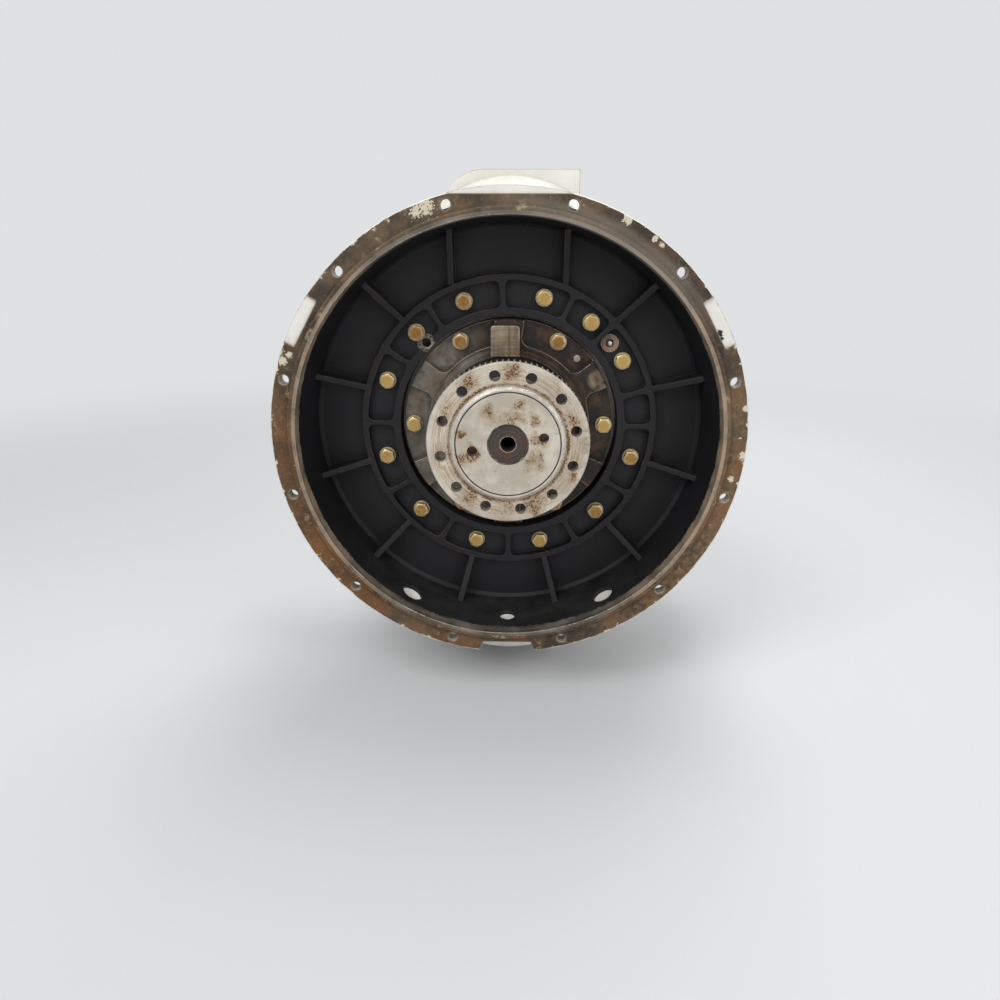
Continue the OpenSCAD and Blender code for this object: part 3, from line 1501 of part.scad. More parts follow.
bell_housing();
bell_bolts();
dowel_bush();
dowel_pin();
gear_case();
input_bearing_retainer();
retainer_bolts();
retainer_plug();
input_oil_seal();
rear_cover();
rear_cover_gasket();
rear_cover_bolts();
output_bearing_carrier();
carrier_bolts();
output_oil_seal();
bearing_outer_rings();
valve_body();
valve_cover();
valve_bolts();
filter_adapter();
oil_filter();
oil_pump_body();
oil_pump_cover();
oil_pump_bolts();
dipstick_tube();
breather();
drain_plug();
port_plugs();
lifting_eyes();
input_shaft();
input_flange();
tone_ring();
ahead_clutch_drum();
ahead_steel_plates();
input_bearing_cones();
ahead_piston();
ahead_pinion();
ahead_pinion_bushes();
ahead_friction_plates();
reverse_shaft();
astern_clutch_drum();
astern_steel_plates();
reverse_bearing_cones();
pump_drive_gear();
astern_piston();
astern_pinion();
astern_pinion_bushes();
astern_friction_plates();
pump_idler_gear();
output_shaft();
output_gear();
output_bearing_cones();
output_flange();
output_nut();
selector_lever();
selector_spool();
dipstick();
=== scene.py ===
"""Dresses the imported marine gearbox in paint, rust, bare metal and plated bolts."""

from __future__ import annotations

import logging
import math
from dataclasses import dataclass, field
from enum import Enum
from functools import reduce
from typing import ClassVar

import bmesh
import bpy
from mathutils import Matrix, Vector


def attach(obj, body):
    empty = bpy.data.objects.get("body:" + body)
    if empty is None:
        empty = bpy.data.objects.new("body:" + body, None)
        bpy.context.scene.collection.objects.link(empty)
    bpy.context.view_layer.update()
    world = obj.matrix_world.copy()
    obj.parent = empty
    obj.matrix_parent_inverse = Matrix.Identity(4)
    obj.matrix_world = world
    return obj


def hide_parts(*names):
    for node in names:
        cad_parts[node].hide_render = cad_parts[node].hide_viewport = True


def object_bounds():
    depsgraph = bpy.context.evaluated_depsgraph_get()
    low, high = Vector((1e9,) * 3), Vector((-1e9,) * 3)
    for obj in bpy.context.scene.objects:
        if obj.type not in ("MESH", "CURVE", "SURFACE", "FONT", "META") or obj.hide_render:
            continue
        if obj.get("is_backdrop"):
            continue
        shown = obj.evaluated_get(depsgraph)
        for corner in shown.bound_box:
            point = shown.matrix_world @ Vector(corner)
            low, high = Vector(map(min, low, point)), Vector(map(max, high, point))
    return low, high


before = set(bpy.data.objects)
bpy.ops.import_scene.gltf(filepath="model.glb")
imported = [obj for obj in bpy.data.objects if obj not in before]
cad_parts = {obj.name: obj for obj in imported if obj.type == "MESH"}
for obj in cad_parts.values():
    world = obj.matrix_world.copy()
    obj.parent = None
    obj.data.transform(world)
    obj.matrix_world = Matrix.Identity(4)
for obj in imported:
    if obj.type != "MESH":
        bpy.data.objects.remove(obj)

LOG = logging.getLogger("gearbox")
MM = 0.001
WELD = 0.01 * MM
SHARP = math.radians(28)
Colour = tuple[float, float, float]
Place = tuple[float, float, float]
Span = tuple[float, float]
Feed = object
Socket = bpy.types.NodeSocket


def srgb(code: str) -> Colour:
    """Turns a hex colour into linear light.

    Args:
        code: Six hex digits, as a painter would write the colour.

    Returns:
        Red, green and blue in linear light.
    """
    parts = [int(code[i : i + 2], 16) / 255 for i in (0, 2, 4)]
    return tuple(p / 12.92 if p <= 0.04045 else ((p + 0.055) / 1.055) ** 2.4 for p in parts)


class Graph:
    """Adds and joins the nodes of one tree."""

    def __init__(self, tree: bpy.types.NodeTree) -> None:
        """Takes the tree that the nodes go into."""
        self.tree = tree

    def feed(self, socket: Socket, value: Feed) -> None:
        """Links a socket to another one, or sets its value.

        Args:
            socket: The input to feed.
            value: An output socket, a number, a vector or a colour of three parts.
        """
        if isinstance(value, bpy.types.NodeSocket):
            self.tree.links.new(value, socket)
        elif socket.type == "RGBA" and len(value) == 3:
            socket.default_value = (*value, 1.0)
        else:
            socket.default_value = value

    def add(self, kind: str, feeds: dict[str | int, Feed] | None = None, **settings: object) -> bpy.types.Node:
        """Adds a node.

        Args:
            kind: The node's type name.
            feeds: Values or sockets for its inputs, by name or number.
            settings: Properties of the node.

        Returns:
            The new node.
        """
        node = self.tree.nodes.new(kind)
        for key, value in settings.items():
            setattr(node, key, value)
        for key, value in (feeds or {}).items():
            self.feed(node.inputs[key], value)
        return node

    def math(self, operation: str, a: Feed, b: Feed = 0.0, clamp: bool = False) -> Socket:
        """Combines two numbers.

        Args:
            operation: Name of the sum to do.
            a: First number.
            b: Second number.
            clamp: Whether the result stays between 0 and 1.

        Returns:
            The result.
        """
        node = self.add("ShaderNodeMath", {0: a, 1: b}, operation=operation, use_clamp=clamp)
        return node.outputs[0]

    def ramp(self, value: Feed, low: Feed, high: Feed) -> Socket:
        """Turns a value into a smooth mask.

        Args:
            value: The value to read.
            low: Where the mask is 0.
            high: Where the mask is 1.

        Returns:
            A mask from 0 to 1.
        """
        node = self.add(
            "ShaderNodeMapRange", {"Value": value, "From Min": low, "From Max": high}, interpolation_type="SMOOTHSTEP"
        )
        return node.outputs[0]

    def mix(self, factor: Feed, a: Feed, b: Feed) -> Socket:
        """Blends two colours by a mask, from a to b."""
        node = self.add("ShaderNodeMix", {0: factor, 6: a, 7: b}, data_type="RGBA")
        return node.outputs[2]

    def lerp(self, factor: Feed, a: Feed, b: Feed) -> Socket:
        """Blends two numbers by a mask, from a to b."""
        return self.add("ShaderNodeMix", {0: factor, 2: a, 3: b}, data_type="FLOAT").outputs[0]

    def noise(self, coords: Feed, scale: Feed, detail: float = 4.0, roughness: float = 0.55) -> Socket:
        """Cloudy noise over the surface.

        Args:
            coords: Where the noise is read, in metres.
            scale: Clouds in a metre.
            detail: How many finer layers it has.
            roughness: How strong the finer layers are.

        Returns:
            A value about 0.5.
        """
        node = self.add(
            "ShaderNodeTexNoise", {"Vector": coords, "Scale": scale, "Detail": detail, "Roughness": roughness}
        )
        return node.outputs[0]

    def stretched(self, coords: Feed, scale: tuple[float, float, float]) -> Socket:
        """Coordinates with each axis scaled."""
        return self.add("ShaderNodeMapping", {"Vector": coords, "Scale": scale}).outputs[0]

    def spot(self, coords: Feed, centre: Place, inner: float, outer: float) -> Socket:
        """A round mask.

        Args:
            coords: Object coordinates.
            centre: Its middle in millimetres.
            inner: Radius in millimetres inside which it is 1.
            outer: Radius in millimetres outside which it is 0.

        Returns:
            The mask.
        """
        place = tuple(c * MM for c in centre)
        far = self.add("ShaderNodeVectorMath", {0: coords, 1: place}, operation="DISTANCE").outputs["Value"]
        return self.across(far, (outer, inner))

    def across(self, value: Feed, span: Span) -> Socket:
        """A smooth mask from 0 to 1 between two millimetre values."""
        return self.ramp(value, span[0] * MM, span[1] * MM)

    def quarter(self, parts: bpy.types.NodeOutputs, x: Span, z: Span) -> Socket:
        """A mask over one corner of the front, between millimetre values of X and of Z."""
        return self.times(self.across(parts["X"], x), self.across(parts["Z"], z))

    def band(self, value: Feed, low: float, high: float, soft: float) -> Socket:
        """A mask that is 1 between two millimetre values and fades over a soft width."""
        rise = self.across(value, (low - soft, low + soft))
        return self.times(rise, self.across(value, (high + soft, high - soft)))

    def fold(self, operation: str, values: tuple[Feed, ...]) -> Socket:
        """Combines several numbers, one after the other."""
        return reduce(lambda done, value: self.math(operation, done, value), values)

    def times(self, *values: Feed) -> Socket:
        """The product of several masks."""
        return self.fold("MULTIPLY", values)

    def most(self, *values: Feed) -> Socket:
        """The largest of several masks."""
        return self.fold("MAXIMUM", values)

    def plus(self, *values: Feed) -> Socket:
        """The sum of several values."""
        return self.fold("ADD", values)

    def minus(self, a: Feed, b: Feed) -> Socket:
        """The first value less the second."""
        return self.math("SUBTRACT", a, b)

    def inverse(self, value: Feed) -> Socket:
        """One minus a mask."""
        return self.math("SUBTRACT", 1.0, value, clamp=True)

    def split(self, vector: Feed) -> bpy.types.NodeOutputs:
        """The X, Y and Z of a vector."""
        return self.add("ShaderNodeSeparateXYZ", {0: vector}).outputs

    def vector(self, operation: str, a: Feed, b: Feed) -> Socket:
        """Combines two vectors."""
        return self.add("ShaderNodeVectorMath", {0: a, 1: b}, operation=operation).outputs[0]

    def length(self, vector: Feed) -> Socket:
        """The length of a vector."""
        return self.add("ShaderNodeVectorMath", {0: vector}, operation="LENGTH").outputs["Value"]


class ShaderGroup:
    """A shared effect, built once and placed in many materials."""

    name: ClassVar[str] = ""
    inputs: ClassVar[dict[str, float]] = {}
    outputs: ClassVar[dict[str, str]] = {}

    @classmethod
    def wire(cls, graph: Graph, given: dict[str, Socket]) -> dict[str, Socket]:
        """Builds the nodes of the effect.

        Args:
            graph: The group's own tree.
            given: Its input sockets by name.

        Returns:
            Its output sockets by name.
        """
        raise NotImplementedError

    @classmethod
    def tree(cls) -> bpy.types.NodeTree:
        """Makes the group the first time and finds it after that."""
        made = bpy.data.node_groups.get(cls.name)
        if made is not None:
            return made
        made = bpy.data.node_groups.new(cls.name, "ShaderNodeTree")
        made.interface.new_socket("Vector", in_out="INPUT", socket_type="NodeSocketVector")
        for name, value in cls.inputs.items():
            made.interface.new_socket(name, in_out="INPUT", socket_type="NodeSocketFloat").default_value = value
        for name, kind in cls.outputs.items():
            made.interface.new_socket(name, in_out="OUTPUT", socket_type=kind)
        graph = Graph(made)
        start = graph.add("NodeGroupInput")
        end = graph.add("NodeGroupOutput")
        for name, socket in cls.wire(graph, {s.name: s for s in start.outputs if s.name}).items():
            graph.feed(end.inputs[name], socket)
        return made

    @classmethod
    def place(cls, graph: Graph, coords: Feed, **values: Feed) -> bpy.types.NodeOutputs:
        """Places the effect in a material.

        Args:
            graph: The material's tree.
            coords: Object coordinates.
            values: Values for its inputs, with spaces as underscores.

        Returns:
            The outputs of the placed group.
        """
        node = graph.add("ShaderNodeGroup", node_tree=cls.tree())
        graph.feed(node.inputs["Vector"], coords)
        for name, value in values.items():
            graph.feed(node.inputs[name.replace("_", " ").capitalize()], value)
        return node.outputs


class EdgeProbe(ShaderGroup):
    """How close a point is to an outside edge and to an inside corner."""

    name = "edge_probe"
    inputs = {"Edge reach": 0.004, "Corner reach": 0.012}
    outputs = {"Edge": "NodeSocketFloat", "Corner": "NodeSocketFloat"}

    @classmethod
    def wire(cls, graph: Graph, given: dict[str, Socket]) -> dict[str, Socket]:
        """See the base class."""
        kind = "ShaderNodeAmbientOcclusion"
        solid = graph.add(kind, {"Distance": given["Edge reach"]}, inside=True, only_local=True, samples=4)
        room = graph.add(kind, {"Distance": given["Corner reach"]}, samples=4)
        return {"Edge": graph.inverse(solid.outputs["AO"]), "Corner": graph.inverse(room.outputs["AO"])}


class EdgeWear(ShaderGroup):
    """Broken marks along outside edges, where a coat rubs off first."""

    name = "edge_wear"
    inputs = {"Edge": 0.0, "Breakup": 220.0, "Amount": 0.5}
    outputs = {"Mask": "NodeSocketFloat"}

    @classmethod
    def wire(cls, graph: Graph, given: dict[str, Socket]) -> dict[str, Socket]:
        """See the base class."""
        fine = graph.noise(given["Vector"], given["Breakup"], 5.0, 0.62)
        broad = graph.noise(given["Vector"], 17.0, 2.0)
        broken = graph.times(graph.plus(fine, graph.times(broad, 0.8)), 0.62)
        level = graph.minus(1.05, given["Amount"])
        score = graph.times(given["Edge"], 2.6, broken)
        high = graph.plus(level, 0.12)
        return {"Mask": graph.ramp(score, level, high)}


class CreviceDirtAndShade(ShaderGroup):
    """Dirt and painted shade in inside corners and round the feet of bolts, read from occlusion."""

    name = "crevice_dirt_and_shade"
    inputs = {"Corner": 0.0, "Breakup": 90.0}
    outputs = {"Mask": "NodeSocketFloat"}

    @classmethod
    def wire(cls, graph: Graph, given: dict[str, Socket]) -> dict[str, Socket]:
        """See the base class."""
        breakup = graph.plus(graph.noise(given["Vector"], given["Breakup"], 5.0, 0.6), 0.45)
        return {"Mask": graph.ramp(graph.times(given["Corner"], breakup), 0.18, 0.62)}


class CastSkin(ShaderGroup):
    """The fine pebbled skin that sand leaves on a casting."""

    name = "cast_skin"
    inputs = {"Grain": 420.0}
    outputs = {"Height": "NodeSocketFloat", "Tone": "NodeSocketFloat"}

    @classmethod
    def wire(cls, graph: Graph, given: dict[str, Socket]) -> dict[str, Socket]:
        """See the base class."""
        fine = graph.noise(given["Vector"], given["Grain"], 3.0, 0.6)
        coarse = graph.noise(given["Vector"], graph.times(given["Grain"], 0.16), 3.0)
        height = graph.plus(graph.times(fine, 0.6), graph.times(coarse, 0.7))
        tone = graph.ramp(graph.noise(given["Vector"], 8.0, 4.0), 0.34, 0.68)
        return {"Height": height, "Tone": tone}


class RustBloom(ShaderGroup):
    """Layered rust: dark scale, brown film and orange powder."""

    name = "rust_bloom"
    inputs = {"Scale": 30.0, "Orange": 0.5}
    outputs = {"Color": "NodeSocketColor", "Mask": "NodeSocketFloat"}
    scale_tone: ClassVar[Colour] = srgb("3c2b1e")
    film_tone: ClassVar[Colour] = srgb("6b4a30")
    powder_tone: ClassVar[Colour] = srgb("8d5a2f")

    @classmethod
    def wire(cls, graph: Graph, given: dict[str, Socket]) -> dict[str, Socket]:
        """See the base class."""
        cloud = graph.noise(given["Vector"], given["Scale"], 6.0, 0.62)
        speck = graph.noise(given["Vector"], graph.times(given["Scale"], 9.0), 5.0, 0.7)
        film = graph.mix(graph.ramp(cloud, 0.34, 0.62), cls.scale_tone, cls.film_tone)
        powder = graph.times(graph.ramp(speck, 0.45, 0.66), given["Orange"])
        colour = graph.mix(powder, film, cls.powder_tone)
        mask = graph.ramp(graph.plus(graph.times(speck, 0.45), cloud), 0.66, 0.82)
        return {"Color": colour, "Mask": mask}


class DustFall(ShaderGroup):
    """Dust that settles on faces that look up."""

    name = "dust_fall"
    inputs = {"Steep": 0.35}
    outputs = {"Mask": "NodeSocketFloat"}

    @classmethod
    def wire(cls, graph: Graph, given: dict[str, Socket]) -> dict[str, Socket]:
        """See the base class."""
        facing = graph.add("ShaderNodeTexCoord").outputs["Normal"]
        up = graph.split(facing)["Z"]
        settled = graph.ramp(up, given["Steep"], 1.0)
        cloud = graph.ramp(graph.noise(given["Vector"], 34.0, 6.0, 0.62), 0.30, 0.72)
        return {"Mask": graph.times(settled, cloud)}


class LatheRings(ShaderGroup):
    """Rings that a turning tool leaves round an axis along Y."""

    name = "lathe_rings"
    inputs = {"Axis x": 0.0, "Axis z": 0.0, "Pitch": 900.0}
    outputs = {"Height": "NodeSocketFloat", "Radius": "NodeSocketFloat"}

    @classmethod
    def wire(cls, graph: Graph, given: dict[str, Socket]) -> dict[str, Socket]:
        """See the base class."""
        parts = graph.split(given["Vector"])
        x = graph.minus(parts["X"], given["Axis x"])
        z = graph.minus(parts["Z"], given["Axis z"])
        squares = graph.plus(graph.times(x, x), graph.times(z, z))
        radius = graph.math("SQRT", squares)
        line = graph.add("ShaderNodeCombineXYZ", {"X": radius, "Y": graph.times(parts["Y"], 0.4)}).outputs[0]
        return {"Height": graph.noise(line, given["Pitch"], 3.0, 0.7), "Radius": radius}


@dataclass
class Site:
    """What the coats of one material read from the surface."""

    coords: Socket
    edge: Socket
    corner: Socket

    def wear(self, graph: Graph, amount: float, breakup: float = 220.0) -> Socket:
        """Where a coat is rubbed off its edges.

        Args:
            graph: The material's tree.
            amount: How much is gone, from 0 to 1.
            breakup: Size of the gaps, as marks in a metre.

        Returns:
            The mask.
        """
        return EdgeWear.place(graph, self.coords, edge=self.edge, amount=amount, breakup=breakup)["Mask"]

    def dirt_and_shade(self, graph: Graph, breakup: float = 90.0) -> Socket:
        """Where dirt and painted shade lie in the corners.

        Args:
            graph: The material's tree.
            breakup: Size of the gaps, as marks in a metre.

        Returns:
            The mask.
        """
        return CreviceDirtAndShade.place(graph, self.coords, corner=self.corner, breakup=breakup)["Mask"]


@dataclass
class Layer:
    """The sockets of one coat before it goes to the shader."""

    colour: Feed
    roughness: Feed
    metallic: Feed
    height: Feed

    def under(self, graph: Graph, mask: Feed, top: Layer) -> Layer:
        """Lays another coat over this one where a mask is 1.

        Args:
            graph: The material's tree.
            mask: Where the top coat shows.
            top: The coat that goes on top.

        Returns:
            The two coats as one layer.
        """
        return Layer(
            graph.mix(mask, self.colour, top.colour),
            graph.lerp(mask, self.roughness, top.roughness),
            graph.lerp(mask, self.metallic, top.metallic),
            graph.lerp(mask, self.height, top.height),
        )


@dataclass(frozen=True)
class Coat:
    """A look that can be laid on a surface by itself or over another."""

    def layer(self, graph: Graph, site: Site) -> Layer:
        """Builds the coat's nodes.

        Args:
            graph: The material's tree.
            site: What is read from the surface.

        Returns:
            The coat as a layer.
        """
        raise NotImplementedError


@dataclass(frozen=True)
class Tone(Coat):
    """An even coat for a mark, a stain or a speck."""

    colour: Colour
    roughness: float
    metallic: float
    height: float

    def layer(self, graph: Graph, site: Site) -> Layer:
        """See the base class."""
        return Layer(self.colour, self.roughness, self.metallic, self.height)


@dataclass(frozen=True)
class Enamel(Coat):
    """Brushed or sprayed paint on a casting, chipped at its edges."""

    colour: Colour
    shade: Colour
    chip: Colour
    stain_and_shade: Colour
    gloss: float = 0.42
    wear: float = 0.45
    staining: float = 0.35
    dirt_and_shade: float = 0.6
    dust: float = 0.25
    dust_colour: Colour = srgb("9a8f7c")
    grain: float = 420.0
    skin: float = 0.8

    def layer(self, graph: Graph, site: Site) -> Layer:
        """See the base class."""
        coords = site.coords
        skin = CastSkin.place(graph, coords, grain=self.grain)
        colour = graph.mix(skin["Tone"], self.shade, self.colour)
        runs = graph.noise(graph.stretched(coords, (46.0, 46.0, 7.0)), 1.0, 5.0, 0.6)
        colour = graph.mix(graph.times(graph.ramp(runs, 0.52, 0.78), self.staining), colour, self.stain_and_shade)
        # dirt and painted shade darken the inside corners to the stain colour
        hollow = graph.times(site.dirt_and_shade(graph), self.dirt_and_shade)
        colour = graph.mix(hollow, colour, self.stain_and_shade)
        settled = graph.times(DustFall.place(graph, coords)["Mask"], self.dust)
        colour = graph.mix(settled, colour, self.dust_colour)
        chip = site.wear(graph, self.wear)
        rust = RustBloom.place(graph, coords, scale=60.0, orange=0.35)
        bare = graph.mix(graph.times(rust["Mask"], 0.7), self.chip, rust["Color"])
        colour = graph.mix(chip, colour, bare)
        rough = graph.lerp(graph.most(settled, hollow), self.gloss, 0.78)
        rough = graph.lerp(chip, rough, 0.6)
        height = graph.minus(graph.times(skin["Height"], self.skin), graph.times(chip, 0.5))
        return Layer(colour, rough, graph.times(chip, 0.35), height)


@dataclass(frozen=True)
class RustyFace(Coat):
    """A machined iron face that has stood bare: brown film, orange patches and paint flecks."""

    dark: Colour = srgb("382f26")
    light: Colour = srgb("615341")
    orange: Colour = srgb("6a4827")
    tan: Colour = srgb("7f6748")
    shadow: Colour = srgb("39322a")
    fleck: Colour = srgb("c9c1ad")
    worn_tone: Colour = srgb("978871")
    smear_tone: Colour = srgb("a19070")
    pit_tone: Colour = srgb("1f1811")
    rubbed_and_highlight_tone: Colour = srgb("b3a58d")
    low_z: Span = (120.0, -160.0)
    left_x: Span = (100.0, -180.0)
    right_low: tuple[Span, Span] = ((50.0, 220.0), (140.0, -80.0))
    right_high: tuple[Span, Span] = ((40.0, 150.0), (40.0, 140.0))
    rim_r: Span = (269.0, 275.5)

    def layer(self, graph: Graph, site: Site) -> Layer:
        """See the base class."""
        coords = site.coords
        parts = graph.split(coords)
        rings = LatheRings.place(graph, coords, pitch=520.0)
        broad = graph.noise(coords, 13.0, 6.0, 0.62)
        fine = graph.noise(coords, 150.0, 6.0, 0.70)
        low = graph.across(parts["Z"], self.low_z)
        left = graph.across(parts["X"], self.left_x)
        right_low = graph.quarter(parts, *self.right_low)
        colour = graph.mix(graph.ramp(broad, 0.36, 0.64), self.dark, self.light)
        right_high = graph.quarter(parts, *self.right_high)
        colour = graph.mix(graph.times(right_low, graph.ramp(fine, 0.30, 0.66), 0.75), colour, self.tan)
        colour = graph.mix(graph.times(right_high, 0.85), colour, self.shadow)
        patches = graph.ramp(graph.noise(coords, 19.0, 6.0, 0.6), 0.34, 0.58)
        colour = graph.mix(graph.times(low, left, patches, 0.9), colour, self.orange)
        rust = RustBloom.place(graph, coords, scale=26.0, orange=0.5)
        rusting = graph.lerp(graph.most(graph.times(low, left), graph.times(right_low, 0.9)), 0.25, 0.7)
        colour = graph.mix(graph.times(rust["Mask"], rusting), colour, rust["Color"])
        worn = graph.ramp(fine, 0.52, 0.74)
        colour = graph.mix(graph.times(worn, 0.32), colour, self.worn_tone)
        smear = graph.ramp(graph.noise(coords, 34.0, 7.0, 0.74), 0.585, 0.66)
        colour = graph.mix(graph.times(smear, graph.ramp(fine, 0.40, 0.56), 0.75), colour, self.smear_tone)
        rim = graph.across(rings["Radius"], self.rim_r)
        flecks = graph.ramp(graph.plus(graph.noise(coords, 85.0, 5.0, 0.7), graph.times(rim, 0.11)), 0.655, 0.70)
        colour = graph.mix(flecks, colour, self.fleck)
        pits = graph.ramp(graph.noise(coords, 330.0, 3.0, 0.7), 0.62, 0.72)
        colour = graph.mix(graph.times(pits, 0.7), colour, self.pit_tone)
        # rubbed edges in a light tan, which also stand for a painted highlight along the face's edges
        rubbed = site.wear(graph, 0.62)
        colour = graph.mix(graph.times(rubbed, 0.7), colour, self.rubbed_and_highlight_tone)
        rough = graph.lerp(graph.most(worn, rubbed), 0.76, 0.50)
        height = graph.plus(graph.times(fine, 0.8), graph.times(rings["Height"], 0.25))
        metal = graph.times(graph.inverse(graph.most(flecks, graph.times(rust["Mask"], 0.8), smear)), 0.22)
        return Layer(colour, rough, metal, height)


@dataclass(frozen=True)
class CastIron(Coat):
    """A bare iron casting with an oily brown skin and rubbed edges."""

    dark: Colour = srgb("191411")
    light: Colour = srgb("2a231d")
    bright: Colour = srgb("a29a8b")
    grime_and_shade: Colour = srgb("1d1813")
    wear: float = 0.5

    def layer(self, graph: Graph, site: Site) -> Layer:
        """See the base class."""
        coords = site.coords
        skin = CastSkin.place(graph, coords, grain=520.0)
        mottle = graph.noise(coords, 42.0, 6.0, 0.65)
        colour = graph.mix(graph.ramp(mottle, 0.34, 0.68), self.dark, self.light)
        rust = RustBloom.place(graph, coords, scale=48.0, orange=0.2)
        colour = graph.mix(graph.times(rust["Mask"], 0.35), colour, rust["Color"])
        # dirt and painted shade darken the inside corners
        hollow = site.dirt_and_shade(graph)
        colour = graph.mix(graph.times(hollow, 0.8), colour, self.grime_and_shade)
        rubbed = site.wear(graph, self.wear)
        colour = graph.mix(graph.times(rubbed, 0.85), colour, self.bright)
        rough = graph.lerp(rubbed, graph.lerp(skin["Tone"], 0.62, 0.50), 0.36)
        metal = graph.lerp(rubbed, 0.28, 0.85)
        return Layer(colour, rough, metal, graph.times(skin["Height"], 0.9))


@dataclass(frozen=True)
class TurnedSteel(Coat):
    """Steel turned on a lathe, with brown stains where water stood."""

    colour: Colour = srgb("c8bfb0")
    shade: Colour = srgb("a3998a")
    stain_and_shade: Colour = srgb("5b4128")
    axis: tuple[float, float] = (0.0, 0.0)
    staining: float = 0.7
    dirt_and_shade: float = 0.8
    roughness: float = 0.36
    metallic: float = 0.75
    wear: float = 0.35
    ring_shine: Colour = srgb("f0ebe2")
    edge_shine: Colour = srgb("e9e4d9")

    def layer(self, graph: Graph, site: Site) -> Layer:
        """See the base class."""
        coords = site.coords
        rings = LatheRings.place(graph, coords, axis_x=self.axis[0] * MM, axis_z=self.axis[1] * MM)
        cloud = graph.noise(coords, 26.0, 5.0, 0.6)
        colour = graph.mix(graph.ramp(cloud, 0.36, 0.66), self.shade, self.colour)
        colour = graph.mix(graph.times(graph.ramp(rings["Height"], 0.45, 0.75), 0.16), colour, self.ring_shine)
        speck = graph.noise(coords, 240.0, 6.0, 0.72)
        field_mask = graph.ramp(graph.noise(coords, 15.0, 4.0, 0.55), 0.50, 0.72)
        dotted = graph.ramp(graph.plus(speck, graph.times(field_mask, 0.16)), 0.60, 0.70)
        spots = graph.times(dotted, self.staining)
        film = graph.times(field_mask, self.staining, 0.42)
        # dirt and painted shade in the inside corners join the brown stain colour
        hollow = graph.times(site.dirt_and_shade(graph, 160.0), self.dirt_and_shade)
        brown = graph.most(spots, film, hollow)
        colour = graph.mix(brown, colour, self.stain_and_shade)
        rubbed = site.wear(graph, self.wear)
        colour = graph.mix(graph.times(rubbed, 0.6), colour, self.edge_shine)
        rough = graph.lerp(brown, graph.lerp(graph.ramp(cloud, 0.3, 0.7), self.roughness, self.roughness + 0.12), 0.72)
        metal = graph.lerp(brown, self.metallic, 0.15)
        height = graph.plus(graph.times(rings["Height"], 0.3), graph.times(spots, -0.4))
        return Layer(colour, rough, metal, height)


@dataclass(frozen=True)
class Plating(Coat):
    """Plated bolts, each with its own tone, dulled and darkened in the corners by dirt and painted shade."""

    fresh: Colour = srgb("bd9b5b")
    dull: Colour = srgb("8f6d3c")
    tint: Colour = srgb("915a2c")
    rim: Colour = srgb("dccfa9")
    dirt_and_shade: float = 0.8
    wear: float = 0.8
    speck_tone: Colour = srgb("4d3720")
    washer_tone: Colour = srgb("5c5142")
    green_tone: Colour = srgb("a8a777")
    grime_and_shade: Colour = srgb("3a2c1c")

    def layer(self, graph: Graph, site: Site) -> Layer:
        """See the base class."""
        coords = site.coords
        tone = graph.add("ShaderNodeAttribute", attribute_name="tone").outputs["Fac"]
        mottle = graph.noise(coords, 260.0, 5.0, 0.65)
        colour = graph.mix(graph.ramp(tone, 0.15, 0.85), self.fresh, self.dull)
        patch = graph.times(graph.ramp(mottle, 0.42, 0.60), graph.ramp(tone, 0.10, 0.85))
        colour = graph.mix(graph.times(patch, 0.85), colour, self.tint)
        speck = graph.ramp(graph.noise(coords, 700.0, 4.0, 0.7), 0.60, 0.70)
        colour = graph.mix(graph.times(speck, 0.65), colour, self.speck_tone)
        washer = graph.add("ShaderNodeAttribute", attribute_name="washer").outputs["Fac"]
        colour = graph.mix(graph.times(washer, 0.55), colour, self.washer_tone)
        green = graph.times(graph.ramp(mottle, 0.52, 0.40), graph.ramp(tone, 0.6, 0.1))
        colour = graph.mix(graph.times(green, 0.22), colour, self.green_tone)
        # dirt and painted shade darken the bolts where they meet the casting
        hollow = graph.times(site.dirt_and_shade(graph, 300.0), self.dirt_and_shade)
        colour = graph.mix(hollow, colour, self.grime_and_shade)
        rubbed = site.wear(graph, self.wear, 420.0)
        colour = graph.mix(graph.times(rubbed, 0.6), colour, self.rim)
        rough = graph.lerp(graph.ramp(mottle, 0.35, 0.7), 0.40, 0.58)
        return Layer(colour, graph.lerp(hollow, rough, 0.8), graph.lerp(hollow, 0.7, 0.2), graph.times(mottle, 0.5))


@dataclass(frozen=True)
class Ground(Coat):
    """Oiled steel, bronze or alloy inside and round the gearbox."""

    colour: Colour
    shade: Colour
    roughness: float = 0.34
    metallic: float = 1.0
    grain: float = 300.0
    axis: tuple[float, float] | None = None
    dirt_and_shade: float = 0.5
    wear: float = 0.3
    grime_and_shade: Colour = srgb("241d16")
    edge_shine: Colour = srgb("dedad2")

    def layer(self, graph: Graph, site: Site) -> Layer:
        """See the base class."""
        coords = site.coords
        fine = graph.noise(coords, self.grain, 4.0, 0.65)
        cloud = graph.noise(coords, 30.0, 4.0)
        colour = graph.mix(graph.ramp(cloud, 0.34, 0.68), self.shade, self.colour)
        # dirt and painted shade darken the inside corners
        hollow = graph.times(site.dirt_and_shade(graph), self.dirt_and_shade)
        colour = graph.mix(hollow, colour, self.grime_and_shade)
        rubbed = site.wear(graph, self.wear)
        colour = graph.mix(graph.times(rubbed, 0.5), colour, self.edge_shine)
        rough = graph.lerp(graph.ramp(fine, 0.35, 0.7), self.roughness, self.roughness + 0.14)
        height = graph.times(fine, 0.4)
        if self.axis is not None:
            rings = LatheRings.place(graph, coords, axis_x=self.axis[0] * MM, axis_z=self.axis[1] * MM)
            height = graph.plus(height, graph.times(rings["Height"], 0.4))
        return Layer(colour, graph.lerp(hollow, rough, 0.75), self.metallic, height)


